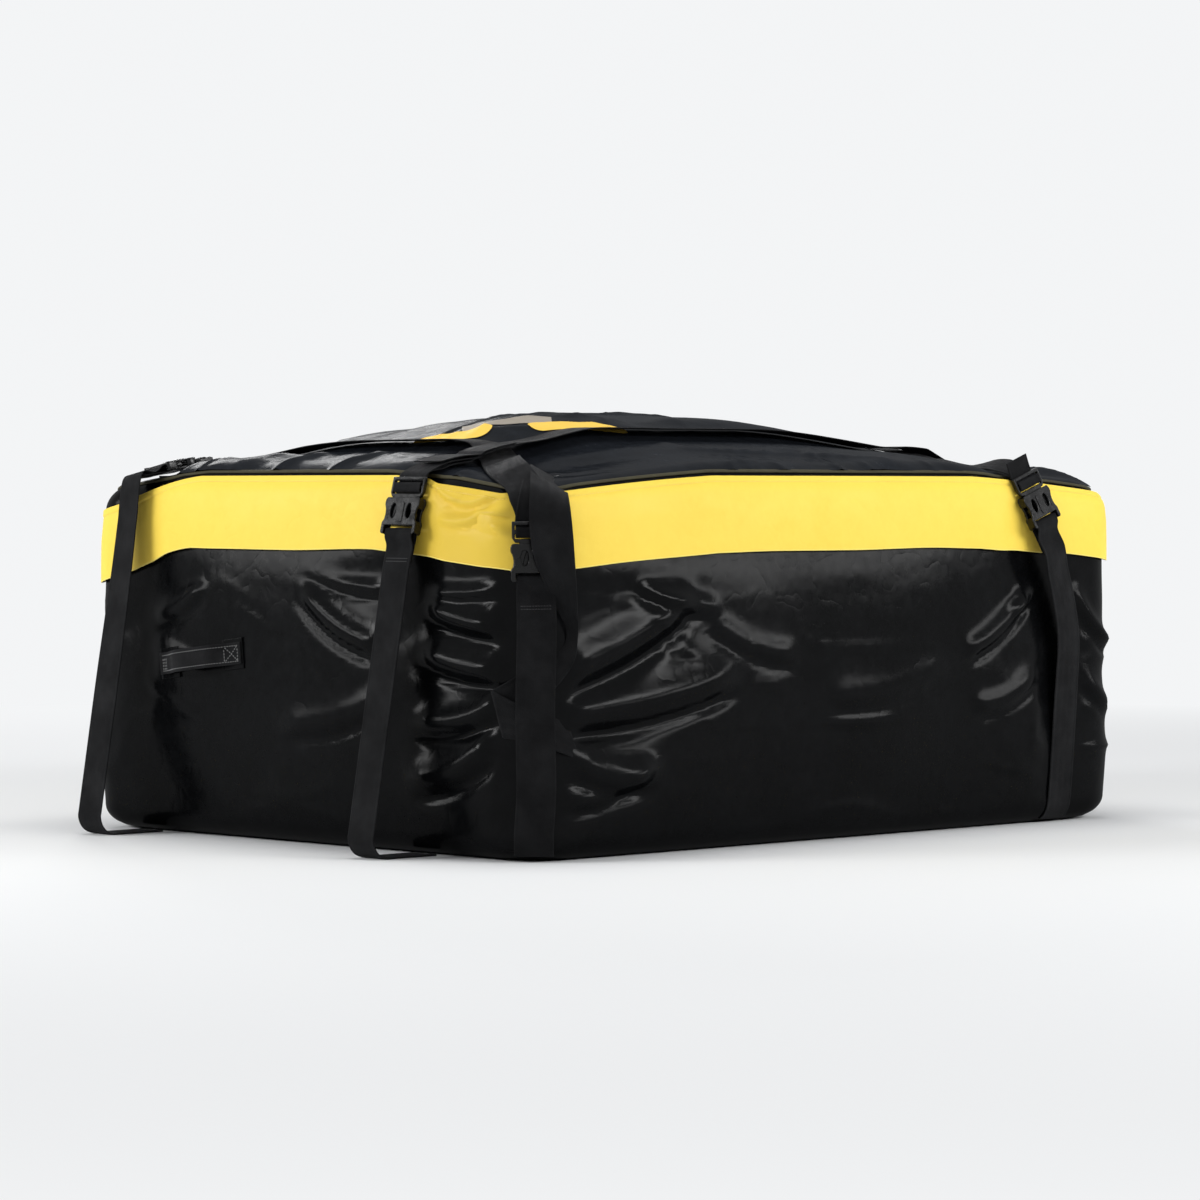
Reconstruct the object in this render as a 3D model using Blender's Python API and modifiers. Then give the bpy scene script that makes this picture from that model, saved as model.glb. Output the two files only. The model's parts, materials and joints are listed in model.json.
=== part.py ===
# Soft rooftop cargo bag, packed full and strapped down.
# Metres, +Z up. Origin: middle of the base, on the surface that the bag stands on.
# The long walls face -Y (front) and +Y (rear), the short walls face -X (left) and +X (right).

import math

import bmesh
import bpy
import numpy as np
from mathutils import Matrix, Vector
from mathutils.bvhtree import BVHTree

# Size of the filled bag
BAG_LENGTH = 1.17
BAG_WIDTH = 0.90
WALL_HEIGHT = 0.480
CROWN_RISE = 0.085
CORNER_RADIUS = 0.07
BASE_EDGE_RADIUS = 0.032
LID_EDGE_RADIUS = 0.040
WALL_BULGE = 0.012
BELLY = 0.007
BELLY_HEIGHT = 0.10
BELLY_SPAN = 0.08
EDGE_RISE = 0.026
EDGE_RISE_FROM_TOP = 0.31
EDGE_RISE_RUN = 0.17
EDGE_RISE_INSET = 0.22
FOLD_DEPTH = 0.009

# The crown rises from each side over a run that starts this far in from the wall, or out from the strap
CROWN_LEFT, CROWN_LEFT_RUN = 0.010, 0.31
CROWN_FRONT, CROWN_FRONT_RUN = 0.005, 0.30
CROWN_RIGHT, CROWN_RIGHT_RUN = 0.060, 0.075
CROWN_REAR, CROWN_REAR_RUN = 0.050, 0.085
# and sags towards the right and the rear, from just past the middle
CROWN_SAG_START = 0.02
CROWN_SAG_RIGHT_RUN = 0.40
CROWN_SAG_REAR_RUN = 0.28

# Mesh of the bag: how many strips each way
LENGTH_STRIPS = 26
WIDTH_STRIPS = 20
HEIGHT_STRIPS = 13

# Storm flap, the coloured band that covers the zip, by how far its upper edge is below the wall's top
FLAP_FROM_TOP = 0.016
FLAP_WIDTH = 0.100
FLAP_DROOP = 0.026
FLAP_DROOP_START = 0.30
FLAP_DROOP_RUN = 0.20
FLAP_THICKNESS = 0.0015
FLAP_TOP_STANDOFF = 0.0016
FLAP_HEM_STANDOFF = 0.0048
HOOD_STANDOFF = 0.0085
HOOD_HALF_LENGTH = 0.26
HOOD_RUN = 0.07

# Zip under the flap, with its two sliders meeting in the middle of the rear wall
ZIP_FROM_TOP = 0.078
ZIP_TAPE_WIDTH = 0.026
ZIP_TAPE_THICKNESS = 0.0011
ZIP_TAPE_STANDOFF = 0.0007
ZIP_SLIDER = (0.017, 0.0044, 0.013)
ZIP_SLIDER_GAP = 0.004
ZIP_PULL = (0.007, 0.0016, 0.026)

# Webbing
STRAP_WIDTH = 0.050
STRAP_THICKNESS = 0.0016
GAP = 0.0004
LAP_START = 0.185
LAP_END = 0.125
LID_KNOT_SPACING = 0.045
END_KNOT_SPACING = 0.034
WALL_KNOT_SPACING = 0.042

# Mouth of each buckle, below the wall's top, or in from the wall where the buckle is on the lid
MOUTH_FROM_TOP = 0.050
HIGH_MOUTH_FROM_TOP = 0.025
CORNER_MOUTH_FROM_TOP = 0.085
LID_MOUTH_INSET = 0.066

# Foot of the straps that reach out to the rack, and the loose end of the others
LEG_REACH = 0.680
LEG_CURL_RADIUS = 0.026
LEG_FLOOR = 0.0012
TAIL_LENGTH = 0.024

# Straps that run lengthwise, by their distance from the front or rear wall on the lid and at the wall
FRONT_STRAP_INSET = 0.213
REAR_STRAP_INSET = 0.180
REAR_STRAP_WALL_INSET = 0.128
# Straps that run across, by their distance from the left or right wall on the lid and at the wall
LEFT_STRAP_INSET = 0.160
LEFT_STRAP_CORNER_INSET = 0.0205
RIGHT_STRAP_INSET = 0.230
RIGHT_STRAP_WALL_INSET = 0.143

# Side-release buckle
PLUG_FRAME_WIDTH = 0.060
PLUG_FRAME_END = 0.028
LADDER_BAR = 0.005
LADDER_SLOT = 0.006
PLUG_BACK = 0.0050
PLUG_THICKNESS = 0.0052
PRONG_LENGTH = 0.034
PRONG_HALF_SPAN = 0.0252
GUIDE_WIDTH = 0.010
SOCKET_WIDTH = 0.064
SOCKET_LENGTH = 0.048
SOCKET_BACK = 0.0010
SOCKET_FRONT = 0.0142
CAVITY_CLEARANCE = 0.0007
SOCKET_BAR = 0.005
SOCKET_BAR_BACK = 0.0052
SOCKET_BAR_THICKNESS = 0.0044
SOCKET_SLOT = 0.006
SEWN_LOOP = 0.036
WEB_SLOT_WIDTH = 0.0525
RELEASE_TRAVEL = 0.036

# Grab handles on the short walls
HANDLE_LENGTH = 0.172
HANDLE_WIDTH = 0.030
HANDLE_BOW = 0.016
HANDLE_THICKNESS = 0.0022
HANDLE_FROM_TOP = 0.237
HANDLE_FROM_REAR = 0.278
HANDLE_TILT = 0.020
PATCH_SIZE = 0.042
PATCH_THICKNESS = 0.0012

# Loose tail at the near corner: distance aside of the strap, height above the wall's top, distance off
# what is under it, share of the webbing's width where it is bunched or crosses a fold, and its lean
TAIL_TUCK_FROM_TOP = 0.175
TAIL_PATH = (
    (0.006, -0.0100, 0.0150, 1.00, 0.0),
    (0.010, 0.0060, 0.0240, 1.00, 0.0),
    (0.013, 0.0050, 0.0310, 1.00, 0.0),
    (0.016, -0.0140, 0.0310, 1.00, 0.0),
    (0.019, -0.0550, 0.0270, 1.00, -3.0),
    (0.024, -0.1000, 0.0120, 0.95, -6.0),
    (0.036, -0.1500, 0.0190, 0.66, -14.0),
    (0.045, -0.1950, 0.0060, 0.40, -24.0),
    (0.036, -0.2240, 0.0000, 0.60, -34.0),
    (-0.004, -0.2570, 0.0000, 0.90, -40.0),
    (-0.038, -0.2840, 0.0000, 1.10, -62.0),
    (-0.049, -0.2920, 0.0012, 1.22, -76.0),
    (-0.046, -0.2930, 0.0028, 1.22, -78.0),
    (-0.020, -0.3010, 0.0028, 1.05, -74.0),
    (0.018, -0.3150, 0.0026, 1.00, -72.0),
    (0.048, -0.3270, 0.0020, 1.00, -72.0),
)

# Tail folded back along its own strap on the lid: distance up the strap from the buckle's mouth and
# distance off what is under it
GATHERED_PATH = (
    (0.060, 0.0045),
    (0.090, 0.0050),
    (0.118, 0.0050),
    (0.124, 0.0070),
    (0.118, 0.0088),
    (0.085, 0.0095),
    (0.050, 0.0105),
)

HALF_LENGTH = BAG_LENGTH / 2
HALF_WIDTH = BAG_WIDTH / 2
FLAP_TOP = WALL_HEIGHT - FLAP_FROM_TOP
ZIP_HEIGHT = WALL_HEIGHT - ZIP_FROM_TOP
HANDLE_HEIGHT = WALL_HEIGHT - HANDLE_FROM_TOP
TAIL_TUCK_HEIGHT = WALL_HEIGHT - TAIL_TUCK_FROM_TOP
FRONT_STRAP_Y = -HALF_WIDTH + FRONT_STRAP_INSET
REAR_STRAP_Y = HALF_WIDTH - REAR_STRAP_INSET
LEFT_STRAP_X = -HALF_LENGTH + LEFT_STRAP_INSET
RIGHT_STRAP_X = HALF_LENGTH - RIGHT_STRAP_INSET

# Gathers where the straps pinch the near corner: wall, place along it from the near corner and height
# above the belly of one end, the same of the other end, half width, share of FOLD_DEPTH
FOLDS = (
    ("front", 0.040, 0.142, 0.260, 0.240, 0.022, 1.0),
    ("front", 0.040, 0.090, 0.340, 0.138, 0.020, 0.9),
    ("front", 0.060, 0.048, 0.200, 0.022, 0.022, 0.8),
    ("left", 0.030, 0.195, 0.245, 0.230, 0.020, 0.9),
    ("left", 0.030, 0.150, 0.225, 0.162, 0.020, 0.8),
    ("left", 0.090, 0.082, 0.245, 0.018, 0.022, 0.8),
    ("left", 0.270, 0.170, 0.410, 0.238, 0.020, 0.7),
)


def empty_scene():
    for item in list(bpy.data.objects):
        bpy.data.objects.remove(item, do_unlink=True)


def collection(name):
    made = bpy.data.collections.new(name)
    bpy.context.scene.collection.children.link(made)
    return made


def finish_of(name, colour, roughness, metallic=0.0):
    made = bpy.data.materials.new(name)
    made.use_nodes = True
    shader = made.node_tree.nodes["Principled BSDF"]
    shader.inputs["Base Color"].default_value = (*colour, 1.0)
    shader.inputs["Roughness"].default_value = roughness
    shader.inputs["Metallic"].default_value = metallic
    made.diffuse_color = (*colour, 1.0)
    return made


def smooth(value):
    """0 below 0, 1 above 1, and an S-curve between."""
    t = np.clip(value, 0.0, 1.0)
    return t * t * (3.0 - 2.0 * t)


# The form of the filled bag


def crown(x, y):
    """How far the load lifts the lid: a plateau between the straps, with low corners outside them."""
    left = smooth((x + HALF_LENGTH - CROWN_LEFT) / CROWN_LEFT_RUN)
    front = smooth((y + HALF_WIDTH - CROWN_FRONT) / CROWN_FRONT_RUN)
    right = smooth((RIGHT_STRAP_X + CROWN_RIGHT - x) / CROWN_RIGHT_RUN)
    rear = smooth((REAR_STRAP_Y + CROWN_REAR - y) / CROWN_REAR_RUN)
    sag_right = 1.0 - 0.42 * smooth((x - CROWN_SAG_START) / CROWN_SAG_RIGHT_RUN)
    sag_rear = 1.0 - 0.40 * smooth((y - CROWN_SAG_START) / CROWN_SAG_REAR_RUN)
    return CROWN_RISE * left * right * sag_right * front * rear * sag_rear


def fold_height(wall, along, z):
    """Outward height of the gathers of one wall."""
    total = np.zeros_like(z)
    for name, u0, z0, u1, z1, half_width, share in FOLDS:
        if name != wall:
            continue
        corner = -HALF_LENGTH if wall == "front" else -HALF_WIDTH
        u0, u1 = corner + u0, corner + u1
        z0, z1 = BELLY_HEIGHT + z0, BELLY_HEIGHT + z1
        run = np.array((u1 - u0, z1 - z0))
        length = np.hypot(*run)
        t = ((along - u0) * run[0] + (z - z0) * run[1]) / length**2
        aside = ((z - z0) * run[0] - (along - u0) * run[1]) / length
        taper = smooth(t / 0.25 + 0.5) * smooth((1.0 - t) / 0.35 + 0.5)
        total += share * FOLD_DEPTH * taper * np.exp(-((aside / half_width) ** 2))
    return total


def bag_surface(box_points):
    """Maps points on the faces of the plain box to the surface of the filled bag."""
    x, y, z = box_points[:, 0], box_points[:, 1], box_points[:, 2]
    ring = np.maximum(np.abs(x) / HALF_LENGTH, np.abs(y) / HALF_WIDTH)
    ring = np.clip(ring, 1e-6, 1.0)
    rim = np.stack((x / ring, y / ring), axis=1)
    reach = np.array((HALF_LENGTH, HALF_WIDTH)) - CORNER_RADIUS
    core = np.clip(rim, -reach, reach)
    out = rim - core
    out /= np.linalg.norm(out, axis=1)[:, None]
    rim = core + CORNER_RADIUS * out
    # round the edges between the walls and the lid or the base
    inset = (1.0 - ring) * HALF_WIDTH
    radius = np.where(z > WALL_HEIGHT / 2, LID_EDGE_RADIUS, BASE_EDGE_RADIUS)
    core_inset = np.maximum(inset, radius)
    core_z = np.clip(z, BASE_EDGE_RADIUS, WALL_HEIGHT - LID_EDGE_RADIUS)
    aside, up = core_inset - inset, z - core_z
    away = np.maximum(np.hypot(aside, up), 1e-9)
    round_by = np.where(away > 1e-8, radius / away, 1.0)
    aside, up = aside * round_by, up * round_by
    inset, z = core_inset - aside, core_z + up
    wallness, lidness = aside / radius, np.clip(up / radius, 0.0, 1.0)
    plan = rim * (1.0 - inset / HALF_WIDTH)[:, None]
    # walls: bulge, belly and gathers
    height = np.clip(z / WALL_HEIGHT, 0.0, 1.0)
    across_x = out[:, 0] ** 2 * (1.0 - (plan[:, 1] / HALF_WIDTH) ** 2)
    across_y = out[:, 1] ** 2 * (1.0 - (plan[:, 0] / HALF_LENGTH) ** 2)
    push = WALL_BULGE * np.sin(math.pi * height) * (across_x + across_y)
    push += BELLY * np.exp(-(((z - BELLY_HEIGHT) / BELLY_SPAN) ** 2))
    push += fold_height("front", plan[:, 0], z) * np.clip(-out[:, 1], 0, 1) ** 2
    push += fold_height("left", plan[:, 1], z) * np.clip(-out[:, 0], 0, 1) ** 2
    plan = plan + out * (push * wallness)[:, None]
    # the top edge rides up between the straps
    swell_x = 1.0 - (rim[:, 0] / HALF_LENGTH) ** 2
    swell_y = 1.0 - (rim[:, 1] / HALF_WIDTH) ** 2
    swell = np.minimum(1.0, 1.25 * (swell_x * out[:, 1] ** 2 + swell_y * out[:, 0] ** 2))
    risen = smooth((z - WALL_HEIGHT + EDGE_RISE_FROM_TOP) / EDGE_RISE_RUN)
    edge = EDGE_RISE * swell * risen * smooth(1.0 - inset / EDGE_RISE_INSET)
    # lid: the load's crown
    z = z + edge + crown(plan[:, 0], plan[:, 1]) * lidness
    return np.stack((plan[:, 0], plan[:, 1], z), axis=1)


def crowded(half, strips):
    """Cut lines from -half to half, closer together at both ends and most of all at the near end."""
    t = np.linspace(-1.0, 1.0, strips + 1)[1:-1]
    return half * (1.18 * t - 0.18 * t**3 - 0.05 * (1.0 - t**2))


def height_lines():
    """Cut lines up the wall, closer together where its top and bottom edges are round."""
    low = BASE_EDGE_RADIUS * np.array((0.35, 0.75))
    high = WALL_HEIGHT - LID_EDGE_RADIUS * np.array((0.90, 0.55, 0.25))
    middle = np.linspace(low[-1], high[0], HEIGHT_STRIPS - 4)[1:-1]
    return np.concatenate((low, middle, high))


def move_points(mesh_data, points):
    mesh_data.vertices.foreach_set("co", np.asarray(points, np.float32).ravel())
    mesh_data.update()


def points_of(mesh_data):
    flat = np.zeros(len(mesh_data.vertices) * 3, np.float32)
    mesh_data.vertices.foreach_get("co", flat)
    return flat.reshape(-1, 3).astype(float)


def add_object(name, mesh_data, finish, group, parent=None):
    made = bpy.data.objects.new(name, mesh_data)
    group.objects.link(made)
    made.data.materials.clear()
    made.data.materials.append(finish)
    made.parent = parent
    return made


def bag_body(group, finish):
    """The closed bag with its load: a box cut into strips, then drawn to the filled form."""
    form = bmesh.new()
    bmesh.ops.create_cube(form, size=1.0)
    bmesh.ops.scale(form, vec=(BAG_LENGTH, BAG_WIDTH, WALL_HEIGHT), verts=form.verts)
    bmesh.ops.translate(form, vec=(0.0, 0.0, WALL_HEIGHT / 2), verts=form.verts)
    lines = (crowded(HALF_LENGTH, LENGTH_STRIPS), crowded(HALF_WIDTH, WIDTH_STRIPS), height_lines())
    for axis, positions in enumerate(lines):
        normal = Vector([1.0 if axis == n else 0.0 for n in range(3)])
        for position in positions:
            everything = form.verts[:] + form.edges[:] + form.faces[:]
            bmesh.ops.bisect_plane(form, geom=everything, plane_co=normal * position, plane_no=normal)
    made = bpy.data.meshes.new("bag_body")
    form.to_mesh(made)
    form.free()
    move_points(made, bag_surface(points_of(made)))
    merge_underside(made)
    made.shade_smooth()
    return add_object("bag_body", made, finish, group)


def merge_underside(mesh_data):
    """Makes one face of all that is flat on the ground, and triangles of the curved rest."""
    form = bmesh.new()
    form.from_mesh(mesh_data)
    flat = [face for face in form.faces if max(vertex.co.z for vertex in face.verts) < 1e-6]
    bmesh.ops.dissolve_faces(form, faces=flat, use_verts=True)
    bmesh.ops.triangulate(form, faces=[face for face in form.faces if len(face.verts) == 4])
    form.to_mesh(mesh_data)
    form.free()


# The flap and the zip go all round the walls


def wall_ring():
    """Box points round the walls at the body's cut lines, every other one where the wall is nearly flat."""
    along_x = np.concatenate(([-HALF_LENGTH], thinned(crowded(HALF_LENGTH, LENGTH_STRIPS), HALF_LENGTH)))
    along_y = np.concatenate(([-HALF_WIDTH], thinned(crowded(HALF_WIDTH, WIDTH_STRIPS), HALF_WIDTH)))
    front = [(x, -HALF_WIDTH) for x in along_x]
    right = [(HALF_LENGTH, y) for y in along_y]
    rear = [(x, HALF_WIDTH) for x in np.append(along_x[1:], HALF_LENGTH)[::-1]]
    left = [(-HALF_LENGTH, y) for y in np.append(along_y[1:], HALF_WIDTH)[::-1]]
    return np.array(front + right + rear + left)


def thinned(lines, half):
    """Keeps every line near the corners and every other line between them."""
    return [line for n, line in enumerate(lines) if abs(line) > half - CORNER_RADIUS * 1.3 or n % 2 == 0]


def wall_band(plan, heights, standoff):
    """Points on the walls at these heights, held off along the surface's own normal."""
    here = bag_surface(np.column_stack((plan, heights)))
    step = 1e-3
    corner = np.array((HALF_LENGTH, HALF_WIDTH))
    on_long_wall = np.abs(plan[:, 1]) >= HALF_WIDTH * 0.999
    along = np.where(on_long_wall[:, None], np.array((1.0, 0.0)), np.array((0.0, 1.0)))
    along *= np.sign(np.where(on_long_wall, -plan[:, 1], plan[:, 0]))[:, None]
    ahead = bag_surface(np.column_stack((np.clip(plan + along * step, -corner, corner), heights)))
    behind = bag_surface(np.column_stack((np.clip(plan - along * step, -corner, corner), heights)))
    above = bag_surface(np.column_stack((plan, np.minimum(heights + step, WALL_HEIGHT))))
    normal = np.cross(ahead - behind, above - here)
    normal /= np.linalg.norm(normal, axis=1)[:, None]
    return here + normal * np.asarray(standoff)[:, None]


def ring_strip(name, plan, rows, thickness, finish, group):
    """A closed band round the walls. Each row is a height and a standoff, from the top row down."""
    count = len(plan)
    form = bmesh.new()
    made_rows = []
    for height, standoff in rows:
        ring = wall_band(plan, np.broadcast_to(height, (count,)), np.broadcast_to(standoff, (count,)))
        made_rows.append([form.verts.new(p) for p in ring])
    for upper, lower in zip(made_rows[:-1], made_rows[1:]):
        for n in range(count):
            after = (n + 1) % count
            form.faces.new((lower[n], lower[after], upper[after], upper[n]))
    bmesh.ops.triangulate(form, faces=form.faces)
    mesh_data = bpy.data.meshes.new(name)
    form.to_mesh(mesh_data)
    form.free()
    made = add_object(name, mesh_data, finish, group)
    wall = made.modifiers.new("thickness", "SOLIDIFY")
    wall.thickness = thickness
    wall.offset = 1.0
    return made


def hood(plan):
    """1 where the flap makes room for the sliders in the middle of the rear wall, 0 elsewhere."""
    on_rear = plan[:, 1] >= HALF_WIDTH * 0.999
    return np.where(on_rear, smooth((HOOD_HALF_LENGTH - np.abs(plan[:, 0])) / HOOD_RUN), 0.0)


def droop(plan):
    """How far the flap hangs at the far left corner, where the load leaves it slack."""
    near_left = smooth((FLAP_DROOP_START - HALF_LENGTH - plan[:, 0]) / FLAP_DROOP_RUN)
    near_rear = smooth((plan[:, 1] - HALF_WIDTH + FLAP_DROOP_START - 0.25 * FLAP_DROOP_RUN) / FLAP_DROOP_RUN)
    return FLAP_DROOP * near_left * near_rear


def storm_flap(group, finish):
    plan = wall_ring()
    rows = []
    for share in (0.0, 0.12, 0.36, 0.68, 1.0):
        standoff = FLAP_TOP_STANDOFF + (FLAP_HEM_STANDOFF - FLAP_TOP_STANDOFF) * min(1.0, share * 2.4)
        height = FLAP_TOP - FLAP_WIDTH * share - droop(plan)
        rows.append((height, standoff + HOOD_STANDOFF * hood(plan) * min(1.0, share * 4)))
    return ring_strip("storm_flap", plan, rows, FLAP_THICKNESS, finish, group)


def zip_tape(group, finish):
    half = ZIP_TAPE_WIDTH / 2
    rows = [(ZIP_HEIGHT + half, ZIP_TAPE_STANDOFF), (ZIP_HEIGHT - half, ZIP_TAPE_STANDOFF)]
    return ring_strip("zip_tape", wall_ring(), rows, ZIP_TAPE_THICKNESS, finish, group)


# Things that lie on the bag are laid down with rays, each on all that is under it


class Cover:
    """The surfaces laid down so far."""

    def __init__(self):
        self.trees = []

    def add(self, item, below=9.0):
        """Adds all of an item, or only its faces below a height."""
        graph = bpy.context.evaluated_depsgraph_get()
        bpy.context.view_layer.update()
        shape = item.evaluated_get(graph)
        form = bmesh.new()
        form.from_mesh(shape.to_mesh())
        form.transform(item.matrix_world)
        high = [face for face in form.faces if face.calc_center_median().z > below]
        bmesh.ops.delete(form, geom=high, context="FACES")
        bmesh.ops.triangulate(form, faces=form.faces)
        self.trees.append(BVHTree.FromBMesh(form))
        form.free()
        shape.to_mesh_clear()

    def hit(self, origin, direction, reach=2.0):
        """Distance and normal of the first surface that the ray meets."""
        best = None
        for tree in self.trees:
            place, normal, _, distance = tree.ray_cast(Vector(origin), Vector(direction), reach)
            if place is not None and (best is None or distance < best[0]):
                best = (distance, np.array(normal))
        return best


def unit(vector):
    return np.asarray(vector, float) / max(np.linalg.norm(vector), 1e-12)


def laid_path(cover, end):
    """The line of a taut strap from the middle of the lid over one edge and down to its foot."""
    axis, side = end["axis"], end["side"]
    half = (HALF_LENGTH, HALF_WIDTH)[axis]
    pivot_z = 0.42 * WALL_HEIGHT
    shoulder = math.atan2(WALL_HEIGHT - pivot_z, half)
    if end["out"]:
        foot = (LEG_REACH - (HALF_LENGTH - half), LEG_CURL_RADIUS + LEG_FLOOR - pivot_z)
    else:
        foot = (half, BASE_EDGE_RADIUS - pivot_z)
    angles = np.linspace(math.pi / 2, math.atan2(foot[1], foot[0]), 84)
    radii, asides = [], []
    turn_from, turn_to = end["turn"]
    for angle in angles:
        turn = float(smooth((shoulder + turn_from - angle) / (turn_from - turn_to)))
        aside = end["lid"] + (end["wall"] - end["lid"]) * turn
        ray = np.zeros(3)
        ray[axis], ray[2] = side * math.cos(angle), math.sin(angle)
        start = ray * 1.2
        start[1 - axis] = aside
        start[2] += pivot_z
        found = cover.hit(start, -ray)
        radii.append(1.2 - found[0])
        asides.append(aside)
    radii = np.array(radii)
    if end["out"]:
        radii[-1] = math.hypot(*foot)
    floor = radii.copy()
    turn = angles[0] - angles[1]
    for _ in range(900):
        before, after = radii[:-2], radii[2:]
        chord = before * after * math.sin(2 * turn) / ((before + after) * math.sin(turn))
        radii[1:-1] = np.maximum(floor[1:-1], chord)
    path = np.zeros((len(angles), 3))
    path[:, axis] = side * radii * np.cos(angles)
    path[:, 1 - axis] = asides
    path[:, 2] = pivot_z + radii * np.sin(angles)
    return path


def spaced(path, start, stop, step):
    """Points along a path between two arc lengths."""
    length = np.concatenate(([0.0], np.cumsum(np.linalg.norm(np.diff(path, axis=0), axis=1))))
    count = max(2, int(round((stop - start) / step)) + 1)
    wanted = np.linspace(start, stop, count)
    return np.stack([np.interp(wanted, length, path[:, n]) for n in range(3)], axis=1)


def arc_lengths(path):
    return np.concatenate(([0.0], np.cumsum(np.linalg.norm(np.diff(path, axis=0), axis=1))))


def outward(place):
    """A rough outward direction, from the middle of the bag."""
    middle = np.array((np.clip(place[0], -HALF_LENGTH * 0.75, HALF_LENGTH * 0.75),
                       np.clip(place[1], -HALF_WIDTH * 0.7, HALF_WIDTH * 0.7),
                       min(place[2], 0.75 * WALL_HEIGHT)))
    return unit(place - middle)


def frames_along(path):
    """Tangent, width direction and normal at each point of a path that lies on the bag."""
    tangent = np.gradient(path, axis=0)
    tangent /= np.linalg.norm(tangent, axis=1)[:, None]
    normal = np.array([outward(p) for p in path])
    for _ in range(3):
        normal[1:-1] = (normal[:-2] + normal[1:-1] + normal[2:]) / 3
    normal -= np.sum(normal * tangent, axis=1)[:, None] * tangent
    normal /= np.linalg.norm(normal, axis=1)[:, None]
    return tangent, np.cross(tangent, normal), normal


def settle(cover, centres, wide, normal, off=None, held=0):
    """Raises the points of a strip until its underside clears all that is under it.

    It stays this far off at each point. The last points, as many as are held, don't move.
    """
    centres = np.array(centres, float)
    clear = GAP + STRAP_THICKNESS / 2 + (np.zeros(len(centres)) if off is None else np.array(off))
    probe = 0.05
    for _ in range(8):
        rise = np.zeros(len(centres))
        for n in range(len(centres) - 1):
            for t in np.arange(0.0, 1.0, 0.0625):
                away = unit(normal[n] * (1 - t) + normal[n + 1] * t)
                side = wide[n] * (1 - t) + wide[n + 1] * t
                middle = centres[n] * (1 - t) + centres[n + 1] * t
                lack = 0.0
                # a twisted strip is two flat triangles there, which dip below its smooth form
                twist = abs(np.dot(wide[n + 1] - wide[n], away)) * STRAP_WIDTH * t * (1 - t)
                apart = clear[n] * (1 - t) + clear[n + 1] * t + twist
                for share in (-0.5, -0.375, -0.25, -0.125, 0.0, 0.125, 0.25, 0.375, 0.5):
                    start = middle + side * STRAP_WIDTH * share + away * probe
                    found = cover.hit(start, -away, probe + 0.02)
                    if found:
                        lack = max(lack, probe - found[0] + apart)
                if lack > 0.0:
                    scale = lack / ((1 - t) ** 2 + t**2)
                    rise[n] = max(rise[n], scale * (1 - t))
                    rise[n + 1] = max(rise[n + 1], scale * t)
        if held:
            rise[-held:] = 0.0
        if rise.max() < 5e-5:
            break
        centres += normal * rise[:, None]
    return centres


def ribbon(name, centres, wide, finish, group, parent=None, width=STRAP_WIDTH, thickness=STRAP_THICKNESS):
    """Webbing: a grid drawn out along its centre line, given its thickness both ways."""
    form = bmesh.new()
    bmesh.ops.create_grid(form, x_segments=len(centres) - 1, y_segments=1, size=1.0)
    form.verts.ensure_lookup_table()
    order = sorted(form.verts, key=lambda v: (round(v.co.y, 4), round(v.co.x, 4)))
    low, high = order[: len(centres)], order[len(centres):]
    for n, centre in enumerate(centres):
        low[n].co = centre - wide[n] * width / 2
        high[n].co = centre + wide[n] * width / 2
    bmesh.ops.triangulate(form, faces=form.faces)
    mesh_data = bpy.data.meshes.new(name)
    form.to_mesh(mesh_data)
    form.free()
    made = add_object(name, mesh_data, finish, group, parent)
    wall = made.modifiers.new("thickness", "SOLIDIFY")
    wall.thickness = thickness
    wall.offset = 0.0
    wall.use_even_offset = True
    return made


# The side-release buckle, in its own frame: X across the webbing, Y up the strap, Z away from the bag,
# with the socket's mouth at Y = 0


def plate(name, outlines, bottom, top):
    """A flat moulding from closed outlines, the first one the outside and the rest holes."""
    drawing = bpy.data.curves.new(name, "CURVE")
    drawing.dimensions = "2D"
    drawing.fill_mode = "BOTH"
    drawing.extrude = (top - bottom) / 2
    for outline in outlines:
        spline = drawing.splines.new("POLY")
        spline.points.add(len(outline) - 1)
        for point, place in zip(spline.points, outline):
            point.co = (place[0], place[1], 0.0, 1.0)
        spline.use_cyclic_u = True
    carrier = bpy.data.objects.new(name, drawing)
    bpy.context.scene.collection.objects.link(carrier)
    bpy.context.view_layer.update()
    graph = bpy.context.evaluated_depsgraph_get()
    flat = bpy.data.meshes.new_from_object(carrier.evaluated_get(graph))
    bpy.data.objects.remove(carrier, do_unlink=True)
    form = bmesh.new()
    form.from_mesh(flat)
    bmesh.ops.remove_doubles(form, verts=form.verts, dist=1e-6)
    bmesh.ops.translate(form, vec=(0.0, 0.0, (top + bottom) / 2), verts=form.verts)
    bmesh.ops.recalc_face_normals(form, faces=form.faces)
    form.to_mesh(flat)
    form.free()
    return flat


def slot_outline(middle_y, height):
    half = WEB_SLOT_WIDTH / 2
    return [(-half, middle_y - height / 2), (half, middle_y - height / 2),
            (half, middle_y + height / 2), (-half, middle_y + height / 2)]


def ladder_levels():
    """Heights of the two ladder slots and the bar between them, from the socket's mouth."""
    outer_slot = PLUG_FRAME_END - LADDER_BAR - LADDER_SLOT / 2
    inner_slot = outer_slot - LADDER_SLOT - LADDER_BAR
    return inner_slot, outer_slot


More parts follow.
